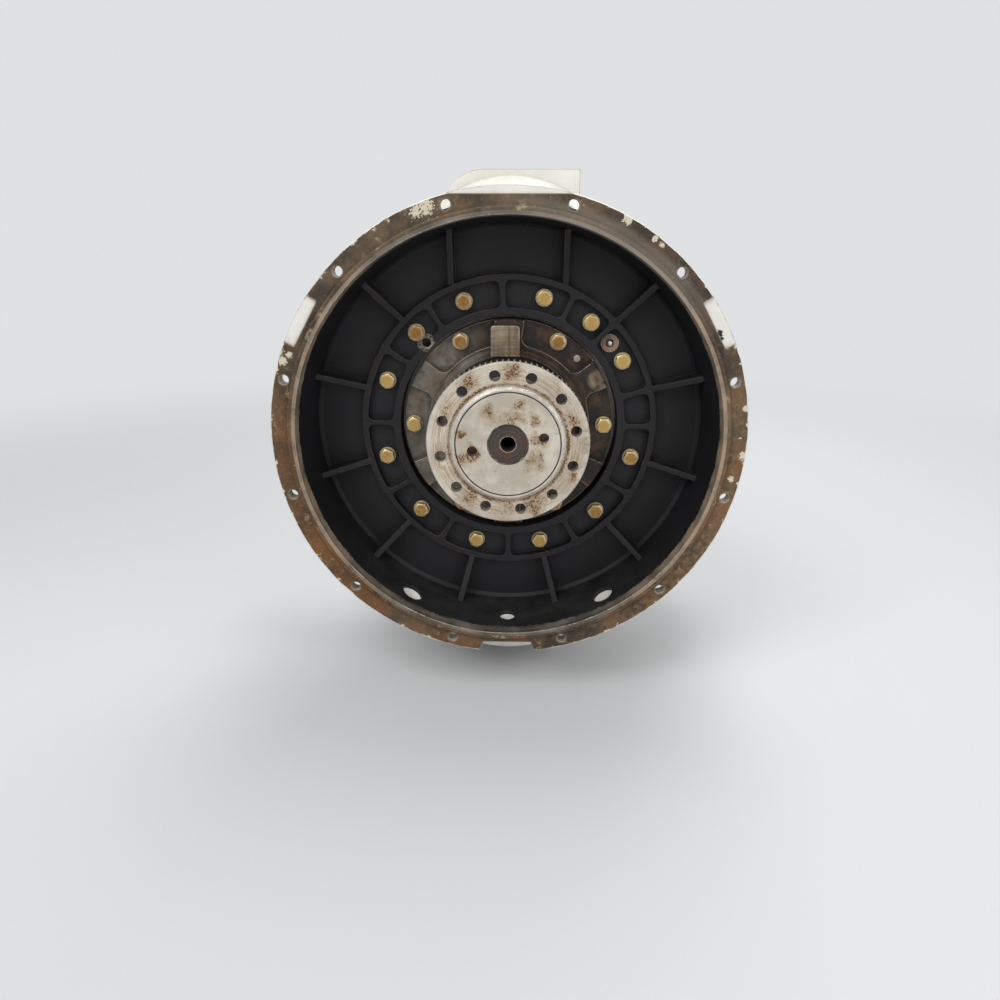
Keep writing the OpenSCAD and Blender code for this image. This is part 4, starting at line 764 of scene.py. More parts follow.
@dataclass(frozen=True)
class Soft(Coat):
    """Rubber, gasket board, friction lining or moulded plastic."""

    colour: Colour
    shade: Colour
    roughness: float = 0.7
    grain: float = 900.0
    dust_colour: Colour = srgb("8d8475")

    def layer(self, graph: Graph, site: Site) -> Layer:
        """See the base class."""
        coords = site.coords
        fine = graph.noise(coords, self.grain, 4.0, 0.7)
        cloud = graph.noise(coords, 45.0, 4.0)
        colour = graph.mix(graph.ramp(cloud, 0.34, 0.68), self.shade, self.colour)
        dusty = graph.times(DustFall.place(graph, coords)["Mask"], 0.2)
        colour = graph.mix(dusty, colour, self.dust_colour)
        rough = graph.lerp(graph.ramp(fine, 0.3, 0.7), self.roughness, self.roughness + 0.12)
        return Layer(colour, rough, 0.0, fine)


WHITE = Enamel(srgb("e2e0d9"), srgb("d4d1c8"), srgb("5a534a"), srgb("7d6a4f"), gloss=0.40, wear=0.30, staining=0.22)
# NIGHT's near-black stain colour also lays painted shade in the bell's pockets
NIGHT = Enamel(
    srgb("17171a"),
    srgb("101012"),
    srgb("34343a"),
    srgb("0b0a0b"),
    gloss=0.54,
    wear=0.40,
    staining=0.3,
    dirt_and_shade=0.6,
    dust=0.22,
    dust_colour=srgb("4a4741"),
    grain=360.0,
    skin=1.0,
)


@dataclass(frozen=True)
class Finish:
    """A material made of one coat."""

    name: str
    coat: Coat
    bump: float = 0.00035
    soft_edge: float = 0.0
    edge_reach: float = 0.003
    corner_reach: float = 0.010
    specular: float = 0.5
    made: ClassVar[dict[str, bpy.types.Material]] = {}

    def layers(self, graph: Graph, site: Site) -> Layer:
        """Builds the coats of the finish.

        Args:
            graph: The material's tree.
            site: What is read from the surface.

        Returns:
            One layer for the shader.
        """
        return self.coat.layer(graph, site)

    def material(self) -> bpy.types.Material:
        """Builds the material, once.

        Returns:
            The finished material.
        """
        if self.name in self.made:
            return self.made[self.name]
        made = bpy.data.materials.new(f"{self.name}_finish")
        self.made[self.name] = made
        made.use_nodes = True
        made.node_tree.nodes.clear()
        graph = Graph(made.node_tree)
        coords = graph.add("ShaderNodeTexCoord").outputs["Object"]
        probe = EdgeProbe.place(graph, coords, edge_reach=self.edge_reach, corner_reach=self.corner_reach)
        layer = self.layers(graph, Site(coords, probe["Edge"], probe["Corner"]))
        bump = graph.add("ShaderNodeBump", {"Strength": 0.55, "Distance": self.bump, "Height": layer.height})
        if self.soft_edge:
            rounded = graph.add("ShaderNodeBevel", {"Radius": self.soft_edge}, samples=6)
            graph.feed(bump.inputs["Normal"], rounded.outputs[0])
        shader = graph.add(
            "ShaderNodeBsdfPrincipled",
            {
                "Base Color": layer.colour,
                "Roughness": layer.roughness,
                "Metallic": layer.metallic,
                "Specular IOR Level": self.specular,
                "Normal": bump.outputs[0],
            },
        )
        graph.add("ShaderNodeOutputMaterial", {"Surface": shader.outputs[0]})
        return made


@dataclass(frozen=True)
class Stain:
    """A mark on a face across the axis, in millimetres from the axis."""

    x: float
    z: float
    reach: float
    strength: float

    @staticmethod
    def strongest(graph: Graph, coords: Socket, face_y: float, stains: tuple[Stain, ...]) -> Socket:
        """How strongly a set of marks shows at a point.

        Args:
            graph: The material's tree.
            coords: Object coordinates.
            face_y: Where the face lies along Y, in millimetres.
            stains: The marks.

        Returns:
            The strength of the strongest mark.
        """
        spots = (graph.times(graph.spot(coords, (m.x, face_y, m.z), 0.0, m.reach), m.strength) for m in stains)
        return graph.most(*spots)


@dataclass
class BellZones:
    """What the coats of the bell read from its shape."""

    parts: bpy.types.NodeOutputs
    radius: Socket
    wobble: Socket
    inside: Socket
    lip: Socket
    face: Socket
    upper_right: Socket


@dataclass(frozen=True)
class BellFinish(Finish):
    """Dark paint inside the bell, white outside, and a bare rusty mating face."""

    coat: Coat = NIGHT
    outside: Coat = WHITE
    face: Coat = RustyFace()
    lip: Coat = TurnedSteel(
        srgb("7d756a"), srgb("564e44"), srgb("463524"), staining=0.8, roughness=0.46, metallic=0.5
    )
    oil_hole: Place = (-101.2, 84.5, 100.6)
    spot_face: Coat = TurnedSteel(
        srgb("9a8f82"), srgb("6d6055"), srgb("3a2a1d"), (oil_hole[0], oil_hole[2]), staining=0.9, metallic=0.4
    )
    rust_mark: Coat = Tone(srgb("84572f"), 0.78, 0.1, 0.5)
    worn_mark: Coat = Tone(srgb("7f7468"), 0.62, 0.2, 0.4)
    daub: Coat = Tone(srgb("c6bca4"), 0.6, 0.0, 0.9)
    bare_chip: Coat = Tone(srgb("2b2926"), 0.6, 0.2, 0.1)
    speck: Coat = Tone(srgb("1c1511"), 0.8, 0.1, 0.0)
    lip_sunlit_tan: Colour = srgb("a18c73")
    lip_grey: Colour = srgb("897e73")
    spot_face_r: Span = (11.2, 11.8)
    hole_specks: int = 10
    speck_ring: Span = (8.0, 9.8)
    wall_r: float = 250.2
    wall_taper: float = 0.0722
    web_back_y: Span = (97.5, 97.0)
    lip_depth: float = 8.2
    face_y: Span = (1.6, 1.0)
    face_inner_r: Span = (245.0, 245.5)
    face_outer_r: Span = (275.3, 274.8)
    rubbed_r: Span = (269.0, 261.0)
    upper_right: tuple[Span, Span] = ((-40.0, 70.0), (110.0, 190.0))
    left_side_x: Span = (-120.0, -220.0)
    right_side_x: Span = (100.0, 200.0)
    chip_side_x: Span = (200.0, 210.0)
    paint_marks: tuple[Stain, ...] = (
        Stain(-255.3, 90.1, 7.5, 1.5),
        Stain(-247.4, 96.9, 6.0, 1.3),
        Stain(-89.0, 253.8, 14.0, 1.0),
        Stain(-99.0, 249.0, 12.0, 0.9),
        Stain(156.0, 222.5, 6.0, 1.0),
        Stain(163.0, 216.3, 5.0, 1.0),
        Stain(125.0, 241.4, 9.0, 1.0),
        Stain(270.7, 39.2, 6.0, 1.4),
        Stain(272.3, -16.6, 8.0, 1.3),
        Stain(261.1, -44.6, 6.0, 1.2),
    )
    rust_marks: tuple[Stain, ...] = (
        Stain(257.7, 62.0, 14.0, 1.1),
        Stain(267.8, -32.2, 18.0, 1.1),
        Stain(263.0, -76.7, 20.0, 1.0),
        Stain(-258.0, 20.0, 60.0, 0.8),
        Stain(-232.0, -130.0, 60.0, 0.8),
    )
    chips: tuple[Stain, ...] = (Stain(233.5, 122.5, 7.0, 1.2), Stain(236.0, 117.0, 4.5, 1.1))
    recess_y: float = 3.0

    def specks(self, graph: Graph, coords: Socket) -> Socket:
        """Dark dots on the bare ring round the oil hole.

        Args:
            graph: The material's tree.
            coords: Object coordinates.

        Returns:
            The mask.
        """
        middle = tuple(c * MM for c in self.oil_hole)
        offset = graph.vector("SUBTRACT", coords, middle)
        parts = graph.split(offset)
        turn = graph.times(graph.math("ARCTAN2", parts["Z"], parts["X"]), self.hole_specks / (2 * math.pi))
        phase = graph.math("ABSOLUTE", graph.minus(graph.math("FRACT", turn), 0.5))
        far = graph.length(offset)
        return graph.times(graph.ramp(phase, 0.22, 0.12), graph.band(far, *self.speck_ring, 0.3))

    def zones(self, graph: Graph, coords: Socket) -> BellZones:
        """Finds the painted inside, the bare lip and the bare mating face.

        Args:
            graph: The material's tree.
            coords: Object coordinates.

        Returns:
            The masks of the zones, with what they were read from.
        """
        parts = graph.split(coords)
        radius = LatheRings.place(graph, coords)["Radius"]
        wobble = graph.minus(graph.noise(coords, 40.0, 5.0, 0.65), 0.5)
        ragged = graph.minus(graph.noise(coords, 260.0, 5.0, 0.7), 0.5)
        wall = graph.minus(self.wall_r * MM, graph.times(parts["Y"], self.wall_taper))
        within = graph.across(graph.minus(wall, radius), (-0.3, 0.3))
        inside = graph.times(within, graph.across(parts["Y"], self.web_back_y))
        paint_edge = graph.plus(self.lip_depth * MM, graph.times(wobble, 0.012), graph.times(ragged, 0.011))
        lip = graph.times(within, graph.across(graph.minus(parts["Y"], paint_edge), (1.2, -0.6)))
        painted_rim = graph.plus(radius, graph.times(wobble, 0.004))
        face = graph.times(
            graph.across(radius, self.face_inner_r),
            graph.across(parts["Y"], self.face_y),
            graph.across(painted_rim, self.face_outer_r),
        )
        upper_right = graph.quarter(parts, *self.upper_right)
        return BellZones(parts, radius, wobble, inside, lip, face, upper_right)

    def marked(self, graph: Graph, site: Site, zones: BellZones, layer: Layer) -> Layer:
        """Lays rust, rubbed metal, daubs of paint and a knocked chip on the face.

        Args:
            graph: The material's tree.
            site: What is read from the surface.
            zones: What is read from the bell's shape.
            layer: The coats below.

        Returns:
            The coats with the marks.
        """
        coords = site.coords
        blot = graph.ramp(graph.noise(coords, 190.0, 6.0, 0.68), 0.32, 0.60)
        rusted = graph.times(Stain.strongest(graph, coords, 0.0, self.rust_marks), blot, zones.face, 0.5)
        layer = layer.under(graph, rusted, self.rust_mark.layer(graph, site))
        rubbed = graph.plus(zones.radius, graph.times(zones.wobble, 0.010))
        worn = graph.times(zones.face, graph.across(rubbed, self.rubbed_r), zones.upper_right, 0.45)
        layer = layer.under(graph, worn, self.worn_mark.layer(graph, site))
        flake = graph.ramp(graph.noise(coords, 330.0, 6.0, 0.7), 0.34, 0.60)
        crumbs = graph.times(graph.minus(flake, 0.6), 0.9)
        daubs = graph.plus(Stain.strongest(graph, coords, 0.0, self.paint_marks), crumbs)
        cream = graph.times(graph.ramp(daubs, 0.45, 0.58), zones.face)
        layer = layer.under(graph, cream, self.daub.layer(graph, site))
        knock = graph.plus(Stain.strongest(graph, coords, self.recess_y, self.chips), graph.times(crumbs, 0.8))
        gone = graph.times(graph.ramp(knock, 0.45, 0.55), graph.across(zones.parts["X"], self.chip_side_x))
        return layer.under(graph, gone, self.bare_chip.layer(graph, site))

    def weathered_sunlit_lip(self, graph: Graph, site: Site, zones: BellZones) -> Layer:
        """The bare lip, with painted sunlight as a tan on both sides, and grey at the upper right.

        Args:
            graph: The material's tree.
            site: What is read from the surface.
            zones: What is read from the bell's shape.

        Returns:
            The lip's coat.
        """
        metal = self.lip.layer(graph, site)
        sides = (graph.across(zones.parts["X"], span) for span in (self.left_side_x, self.right_side_x))
        # painted sunlight: a tan on both sides of the lip
        sunlit = graph.times(graph.most(*sides), graph.ramp(zones.wobble, -0.25, 0.15), 0.8)
        tan = graph.mix(sunlit, metal.colour, self.lip_sunlit_tan)
        metal.colour = graph.mix(graph.times(zones.upper_right, 0.7), tan, self.lip_grey)
        metal.metallic = graph.lerp(sunlit, metal.metallic, 0.15)
        return metal

    def layers(self, graph: Graph, site: Site) -> Layer:
        """See the base class."""
        zones = self.zones(graph, site.coords)
        layer = self.outside.layer(graph, site)
        layer = layer.under(graph, zones.inside, self.coat.layer(graph, site))
        layer = layer.under(graph, zones.face, self.face.layer(graph, site))
        layer = self.marked(graph, site, zones, layer)
        layer = layer.under(graph, zones.lip, self.weathered_sunlit_lip(graph, site, zones))
        spot_face = graph.spot(site.coords, self.oil_hole, *self.spot_face_r)
        layer = layer.under(graph, spot_face, self.spot_face.layer(graph, site))
        return layer.under(graph, self.specks(graph, site.coords), self.speck.layer(graph, site))


@dataclass(frozen=True)
class DriveFaceFinish(Finish):
    """The turned input flange, with water stains, a painted highlight on the chamfer and painted shade in the groove.
    """

    haze_mark: Coat = Tone(srgb("957a55"), 0.62, 0.2, 0.5)
    chamfer_shine: Coat = Tone(srgb("e4e2dd"), 0.26, 0.95, 0.5)
    groove_shade: Coat = Tone(srgb("4a3d30"), 0.70, 0.2, 0.3)
    rust_tones: tuple[Colour, Colour] = (srgb("75502e"), srgb("35261a"))
    face_y: float = -20.0
    front_y: Span = (-12.0, -15.0)
    groove: Span = (59.4, 61.0)
    chamfer: Span = (62.8, 66.2)
    foot: Span = (66.6, 71.0)
    stains: tuple[Stain, ...] = (
        Stain(14.0, 46.0, 16.0, 1.1),
        Stain(31.0, 30.0, 15.0, 1.0),
        Stain(2.0, 27.0, 24.0, 0.95),
        Stain(-22.0, 34.0, 20.0, 0.75),
        Stain(38.0, 6.0, 18.0, 0.7),
        Stain(-55.0, 9.0, 11.0, 1.6),
        Stain(-42.0, -11.0, 12.0, 1.3),
        Stain(-53.0, -17.0, 14.0, 1.0),
        Stain(30.0, -20.0, 22.0, 0.7),
        Stain(-42.0, 71.0, 18.0, 1.0),
        Stain(3.0, 80.0, 20.0, 0.95),
        Stain(69.0, 30.0, 20.0, 1.0),
        Stain(72.0, -41.0, 12.0, 1.5),
        Stain(-69.0, 41.0, 20.0, 0.75),
        Stain(33.0, -74.0, 24.0, 1.0),
        Stain(-44.0, -66.0, 22.0, 0.8),
        Stain(-2.0, -82.0, 20.0, 0.8),
        Stain(-76.0, -14.0, 18.0, 0.7),
    )
    stray: float = 16.0
    streak_ring: Span = (70.0, 88.0)

    def strayed(self, graph: Graph, coords: Socket) -> Socket:
        """Coordinates pushed about by noise, so that no stain is round.

        Args:
            graph: The material's tree.
            coords: Object coordinates.

        Returns:
            The pushed coordinates.
        """
        cloud = graph.add("ShaderNodeTexNoise", {"Vector": coords, "Scale": 48.0, "Detail": 5.0}).outputs[1]
        middle = graph.vector("SUBTRACT", cloud, (0.5, 0.5, 0.5))
        reach = self.stray * 2 * MM
        push = graph.vector("MULTIPLY", middle, (reach, 0.0, reach))
        return graph.vector("ADD", coords, push)

    def streaks(self, graph: Graph, parts: bpy.types.NodeOutputs, radius: Socket) -> Socket:
        """Brown scratches that run round the ring of bolt holes.

        Args:
            graph: The material's tree.
            parts: The three object coordinates.
            radius: Distance from the axis.

        Returns:
            The mask.
        """
        turn = graph.math("ARCTAN2", parts["Z"], parts["X"])
        line = graph.add("ShaderNodeCombineXYZ", {"X": turn, "Y": graph.times(radius, 420.0)}).outputs[0]
        marks = graph.ramp(graph.noise(line, 1.6, 4.0, 0.62), 0.44, 0.60)
        return graph.times(marks, graph.band(radius, *self.streak_ring, 4.0))

    def layers(self, graph: Graph, site: Site) -> Layer:
        """See the base class."""
        coords = site.coords
        parts = graph.split(coords)
        radius = LatheRings.place(graph, coords)["Radius"]
        front = graph.across(parts["Y"], self.front_y)
        blot = graph.noise(coords, 85.0, 6.0, 0.66)
        speck = graph.noise(coords, 520.0, 5.0, 0.74)
        swirl = graph.ramp(graph.noise(coords, 22.0, 3.0), 0.30, 0.66)
        foot = graph.times(graph.band(radius, *self.foot, 2.2), graph.lerp(swirl, 0.55, 1.15))
        strayed = self.strayed(graph, coords)
        amount = graph.times(graph.most(Stain.strongest(graph, strayed, self.face_y, self.stains), foot), front)
        score = graph.plus(graph.times(blot, 0.30), graph.times(speck, 0.70))
        brown = graph.ramp(graph.plus(score, graph.times(amount, 0.18)), 0.61, 0.70)
        streaks = graph.times(self.streaks(graph, parts, radius), graph.ramp(blot, 0.30, 0.52), front)
        wash = graph.times(graph.ramp(amount, 0.0, 0.75), graph.ramp(blot, 0.22, 0.56), 0.75)
        haze = graph.most(wash, graph.times(streaks, 0.85))
        rust = graph.mix(graph.ramp(speck, 0.42, 0.66), *self.rust_tones)
        broken = graph.ramp(graph.noise(coords, 120.0, 6.0, 0.7), 0.42, 0.58)
        # painted highlight: a broken bright ring on the bare chamfer
        bright = graph.times(graph.band(radius, *self.chamfer, 0.5), broken, front)
        # painted shade: a dark ring in the groove
        groove = graph.times(graph.band(radius, *self.groove, 0.4), front)
        layer = self.coat.layer(graph, site)
        layer = layer.under(graph, haze, self.haze_mark.layer(graph, site))
        layer = layer.under(graph, bright, self.chamfer_shine.layer(graph, site))
        layer = layer.under(graph, groove, self.groove_shade.layer(graph, site))
        return layer.under(graph, graph.times(brown, graph.ramp(amount, 0.02, 0.25)), Layer(rust, 0.78, 0.1, 0.2))


@dataclass(frozen=True)
class RetainerFinish(Finish):
    """Dark iron with a bright machined lug, a rubbed spoke, bright rim marks and a lighter grey left side; the lug's
    brightness and the grey left side are partly painted light.
    """

    coat: Coat = CastIron()
    machined: Coat = TurnedSteel(
        srgb("8f816a"), srgb("695843"), srgb("513820"), staining=0.8, roughness=0.44, metallic=0.5
    )
    lit_grey_iron: Coat = CastIron(srgb("69655b"), srgb("8b8679"))
    run: Colour = srgb("5b4227")
    lug_y: Span = (66.0, 65.0)
    lug_z: Span = (80.0, 82.0)
    rubbed_spoke: Place = (-96.0, 76.0, 34.0)
    rubbed_tip: Place = (110.0, 76.0, 58.0)
    lit_grey_side: tuple[Span, Span] = ((-15.0, -55.0), (128.0, 100.0))

    def layers(self, graph: Graph, site: Site) -> Layer:
        """See the base class."""
        coords = site.coords
        parts = graph.split(coords)
        # the lug is machined metal, and its brightness is partly painted light
        lug = graph.times(graph.across(parts["Y"], self.lug_y), graph.across(parts["Z"], self.lug_z))
        breakup = graph.ramp(graph.noise(coords, 70.0, 6.0, 0.65), 0.34, 0.58)
        spoke = graph.times(graph.spot(coords, self.rubbed_spoke, 16.0, 34.0), breakup)
        # lighter grey iron towards the left, partly painted light on that side
        lit_grey = graph.quarter(parts, *self.lit_grey_side)
        left = graph.times(lit_grey, graph.lerp(breakup, 0.55, 1.0))
        tip = graph.times(graph.spot(coords, self.rubbed_tip, 9.0, 16.0), breakup)
        layer = self.coat.layer(graph, site)
        grey = self.lit_grey_iron.layer(graph, site)
        layer = layer.under(graph, graph.most(graph.times(left, 0.75), graph.times(spoke, 0.9)), grey)
        bright = self.machined.layer(graph, site)
        runs = graph.ramp(graph.noise(graph.stretched(coords, (210.0, 60.0, 14.0)), 1.0, 5.0, 0.6), 0.46, 0.66)
        bright.colour = graph.mix(graph.times(runs, 0.55), bright.colour, self.run)
        return layer.under(graph, graph.most(lug, tip), bright)


@dataclass(frozen=True)
class DipstickFinish(Finish):
    """A painted grip over a bare steel blade."""

    blade: Coat = Ground(srgb("b4b2ab"), srgb("8f8c84"), 0.34)
    grip_z: float = 160.0

    def layers(self, graph: Graph, site: Site) -> Layer:
        """See the base class."""
        height = graph.split(site.coords)["Z"]
        grip = graph.across(height, (self.grip_z - 0.3, self.grip_z + 0.3))
        return self.blade.layer(graph, site).under(graph, grip, self.coat.layer(graph, site))


class Palette(Enum):
    """The finishes of the gearbox."""

    # the wider corner reach deepens the dirt and painted shade in the bell's pockets
    BELL = BellFinish("bell_paint_and_rust", soft_edge=0.0022, corner_reach=0.015, specular=0.35)
    WHITE_CASTING = Finish("white_casting", WHITE, soft_edge=0.0025)
    RETAINER = RetainerFinish("retainer_iron", soft_edge=0.0012)
    INPUT_FLANGE = DriveFaceFinish(
        "input_flange_steel", TurnedSteel(srgb("cfc6b7"), srgb("b3a999"), staining=0.45, metallic=0.5), soft_edge=0.0006
    )
    OUTPUT_FLANGE = Finish(
        "output_flange_steel", TurnedSteel(axis=(0.0, -180.0), staining=0.5), soft_edge=0.0008
    )
    PIN_STEEL = Finish("pin_steel", Ground(srgb("c2bbae"), srgb("948a7a"), 0.28), soft_edge=0.0008)
    BUSH_STEEL = Finish(
        "bush_steel",
        TurnedSteel(srgb("8a6f58"), srgb("5e4837"), srgb("36271c"), (122.9, 101.5), staining=0.9, metallic=0.3),
        soft_edge=0.0006,
    )
    YELLOW_ZINC = Finish("yellow_zinc", Plating(), bump=0.00012)
    GREY_ZINC = Finish(
        "grey_zinc", Plating(srgb("b9b8b2"), srgb("9a9891"), srgb("8f8877"), dirt_and_shade=0.6), bump=0.00012
    )
    DARK_STEEL = Finish("dark_steel", Ground(srgb("6a645b"), srgb("474239"), 0.42, axis=(0.0, 0.0)), soft_edge=0.0008)
    PLUG_STEEL = Finish("plug_steel", Ground(srgb("8b877f"), srgb("6c675f"), 0.40), soft_edge=0.0008)
    GEAR_STEEL = Finish("gear_steel", Ground(srgb("9a9a98"), srgb("7f7f7e"), 0.30), soft_edge=0.0006)
    # high wear lays painted highlights on the tooth tops as edge shine, and the high corner amount lays painted shade
    # in the gaps
    TOOTHED_RING = Finish(
        "toothed_ring",
        Ground(srgb("c9c0b2"), srgb("978b7c"), 0.40, 0.45, dirt_and_shade=0.9, wear=0.7),
        edge_reach=0.0015,
    )
    SHAFT_END = Finish(
        "shaft_end_steel",
        TurnedSteel(srgb("352d25"), srgb("262019"), srgb("55301f"), staining=0.7, roughness=0.60, metallic=0.2),
        soft_edge=0.0006,
    )
    PLATE_STEEL = Finish("plate_steel", Ground(srgb("a5a5a3"), srgb("8b8b89"), 0.36))
    BEARING = Finish("bearing_steel", Ground(srgb("c4c5c6"), srgb("acadae"), 0.16, grain=700.0))
    LINING = Finish("friction_lining", Soft(srgb("7a5a3c"), srgb("63472d"), 0.8))
    BRONZE = Finish("bearing_bronze", Ground(srgb("b98d4b"), srgb("94692f"), 0.30))
    RUBBER = Finish("seal_rubber", Soft(srgb("26262a"), srgb("1a1a1c"), 0.55))
    GASKET = Finish("gasket_board", Soft(srgb("3a3833"), srgb("2c2a27"), 0.8))
    ALLOY = Finish("pump_alloy", Ground(srgb("a9aaa8"), srgb("8f908e"), 0.46, 0.85, 420.0), soft_edge=0.0015)
    FILTER_CAN = Finish(
        "filter_can",
        Enamel(srgb("dedcd6"), srgb("d2d0ca"), srgb("8a877f"), srgb("8a7d66"), gloss=0.25, wear=0.2, skin=0.1),
        bump=0.0001,
        soft_edge=0.0015,
    )
    LEVER = Finish(
        "lever_paint",
        Enamel(srgb("2a2a2c"), srgb("222224"), srgb("7d786f"), srgb("17150f"), gloss=0.38, wear=0.55, skin=0.4),
        soft_edge=0.0012,
    )
    GRIP = DipstickFinish(
        "dipstick_grip",
        Enamel(srgb("d0a52a"), srgb("bf9420"), srgb("8a8578"), srgb("7a5f1e"), gloss=0.36, wear=0.25, skin=0.2),
        soft_edge=0.0008,
    )


class Facing(Enum):
    """Which way the heads of a set of bolts look, as turns about X, Y and Z."""

    FRONT = (math.pi / 2, 0.0, 0.0)
    REAR = (-math.pi / 2, 0.0, 0.0)
    TOP = (0.0, 0.0, 0.0)

    def seat(self, low: Vector, high: Vector, stack: float) -> Vector:
        """Finds the seat of a bolt from its box.

        Args:
            low: Lowest corner.
            high: Highest corner.
            stack: Height of head and washer.

        Returns:
            The middle of the washer's underside.
        """
        place = (low + high) / 2
        if self is Facing.FRONT:
            place.y = low.y + stack
        elif self is Facing.REAR:
            place.y = high.y - stack
        else:
            place.z = high.z - stack
        return place

    def length(self, low: Vector, high: Vector) -> float:
        """Length of a bolt along the way it looks."""
        size = high - low
        return size.z if self is Facing.TOP else size.y


@dataclass(frozen=True)
class BoltSize:
    """Sizes of one bolt in millimetres."""

    thread: float
    flats: float
    head: float
    washer: float
    washer_t: float
    turns: int = 48
    washer_edge: float = 0.35
    washer_gap: float = 0.01
    thread_edge: float = 1.0
    foot_t: float = 0.5
    foot_shares: Span = (0.93, 0.95)
    crown_share: float = 0.955
    crown_slope: float = math.tan(math.radians(30))
    crown_t: float = 0.35
    crown_edge: float = 0.9
    dish_share: float = 0.62
    dish: float = 0.12

    @property
    def stack(self) -> float:
        """Height of head and washer in metres."""
        return (self.head + self.washer_t) * MM

    @property
    def width(self) -> float:
        """Width over the washer or the corners of the head, whichever is larger."""
        return max(self.washer, self.flats / math.cos(math.pi / 6))

    def mesh(self, name: str, length: float) -> bpy.types.Mesh:
        """Builds a bolt with its seat at the origin and its head along +Z.

        Args:
            name: Name of the mesh.
            length: Length of the shank below the seat, in metres.

        Returns:
            A closed washer and a closed bolt in one mesh.
        """
        shell = bmesh.new()
        mark = shell.verts.layers.float.new("washer")
        flat = self.flats / 2
        crown_r = flat * self.crown_share
        base = self.washer_t
        top = base + self.head
        shoulder = top - self.crown_t

        def outline(radius: float | None, z: float | None) -> list[bmesh.types.BMVert]:
            """Adds one ring of points, round or on the hexagon."""
            points = []
            for k in range(self.turns):
                angle = 2 * math.pi * k / self.turns
                corner = (angle % (math.pi / 3)) - math.pi / 6
                r = radius if radius is not None else flat / math.cos(corner)
                height = z if z is not None else shoulder - (r - crown_r) * self.crown_slope
                points.append(shell.verts.new((r * math.cos(angle) * MM, r * math.sin(angle) * MM, height * MM)))
            return points

        def loft(rings: list[list[bmesh.types.BMVert]]) -> None:
            """Joins rings to a closed shell."""
            for below, above in zip(rings, rings[1:]):
                for k in range(self.turns):
                    n = (k + 1) % self.turns
                    shell.faces.new((below[k], below[n], above[n], above[k]))
            shell.faces.new(list(reversed(rings[0])))
            shell.faces.new(rings[-1])

        edge = self.washer_edge
        wide = self.washer / 2
        washer = [
            outline(wide - edge, 0.0),
            outline(wide, edge),
            outline(wide, base - edge),
            outline(wide - edge, base - self.washer_gap),
        ]
        for vert in (v for ring in washer for v in ring):
            vert[mark] = 1.0
        loft(washer)
        shank = self.thread / 2
        end = -length / MM
        foot_in, foot_out = (flat * share for share in self.foot_shares)
        loft([
            outline(shank - self.thread_edge, end),
            outline(shank, end + self.thread_edge),
            outline(shank, base),
            outline(foot_in, base),
            outline(foot_out, base + self.foot_t),
            outline(None, base + self.foot_t),
            outline(None, None),
            outline(crown_r, shoulder),
            outline(crown_r - self.crown_edge, top),
            outline(crown_r * self.dish_share, top - self.dish),
        ])
        bmesh.ops.recalc_face_normals(shell, faces=shell.faces)
        made = bpy.data.meshes.new(name)
        shell.to_mesh(made)
        shell.free()
        return made


class BoltTree:
    """A geometry node tree that puts a bolt on each of a set of points."""

    NAME: ClassVar[str] = "bolts_on_seats"
    TONE_SEED_STEP: ClassVar[float] = 7.0
    SOCKETS: ClassVar[dict[str, str]] = {
        "Bolt": "NodeSocketObject",
        "Facing": "NodeSocketVector",
        "Spin": "NodeSocketFloat",
        "Seed": "NodeSocketInt",
        "Finish": "NodeSocketMaterial",
    }

    @classmethod
    def tree(cls) -> bpy.types.NodeTree:
        """Makes the tree the first time and finds it after that."""
        made = bpy.data.node_groups.get(cls.NAME)
        if made is not None:
            return made
        made = bpy.data.node_groups.new(cls.NAME, "GeometryNodeTree")
        made.interface.new_socket("Geometry", in_out="INPUT", socket_type="NodeSocketGeometry")
        for name, kind in cls.SOCKETS.items():
            made.interface.new_socket(name, in_out="INPUT", socket_type=kind)
        made.interface.new_socket("Geometry", in_out="OUTPUT", socket_type="NodeSocketGeometry")
        graph = Graph(made)
        start = graph.add("NodeGroupInput").outputs
        bolt = graph.add("GeometryNodeObjectInfo", {"Object": start["Bolt"]}).outputs["Geometry"]
        placed = graph.add(
            "GeometryNodeInstanceOnPoints",
            {"Points": start["Geometry"], "Instance": bolt, "Rotation": start["Facing"]},
        ).outputs[0]
        spin = cls.random(graph, 0.0, start["Spin"], start["Seed"])
        turn = graph.add("ShaderNodeCombineXYZ", {"Z": spin}).outputs[0]
        turned = graph.add("GeometryNodeRotateInstances", {"Instances": placed, "Rotation": turn}).outputs[0]
        tone = cls.random(graph, 0.0, 1.0, graph.plus(start["Seed"], cls.TONE_SEED_STEP))
        stored = graph.add(
            "GeometryNodeStoreNamedAttribute",
            {"Geometry": turned, "Name": "tone"},
            data_type="FLOAT",
            domain="INSTANCE",
        )
        graph.feed(next(s for s in stored.inputs if s.name == "Value" and s.enabled), tone)
        real = graph.add("GeometryNodeRealizeInstances", {"Geometry": stored.outputs[0]}).outputs[0]
        dressed = graph.add("GeometryNodeSetMaterial", {"Geometry": real, "Material": start["Finish"]}).outputs[0]
        graph.add("NodeGroupOutput", {"Geometry": dressed})
        return made

    @staticmethod
    def random(graph: Graph, low: Feed, high: Feed, seed: Feed) -> Socket:
        """A number for each bolt.

        Args:
            graph: The tree.
            low: Least value.
            high: Greatest value.
            seed: Seed of the draw.

        Returns:
            The random number.
        """
        node = graph.add("FunctionNodeRandomValue", data_type="FLOAT")
        live = {s.name: s for s in node.inputs if s.enabled}
        graph.feed(live["Min"], low)
        graph.feed(live["Max"], high)
        graph.feed(live["Seed"], seed)
        return next(s for s in node.outputs if s.enabled)


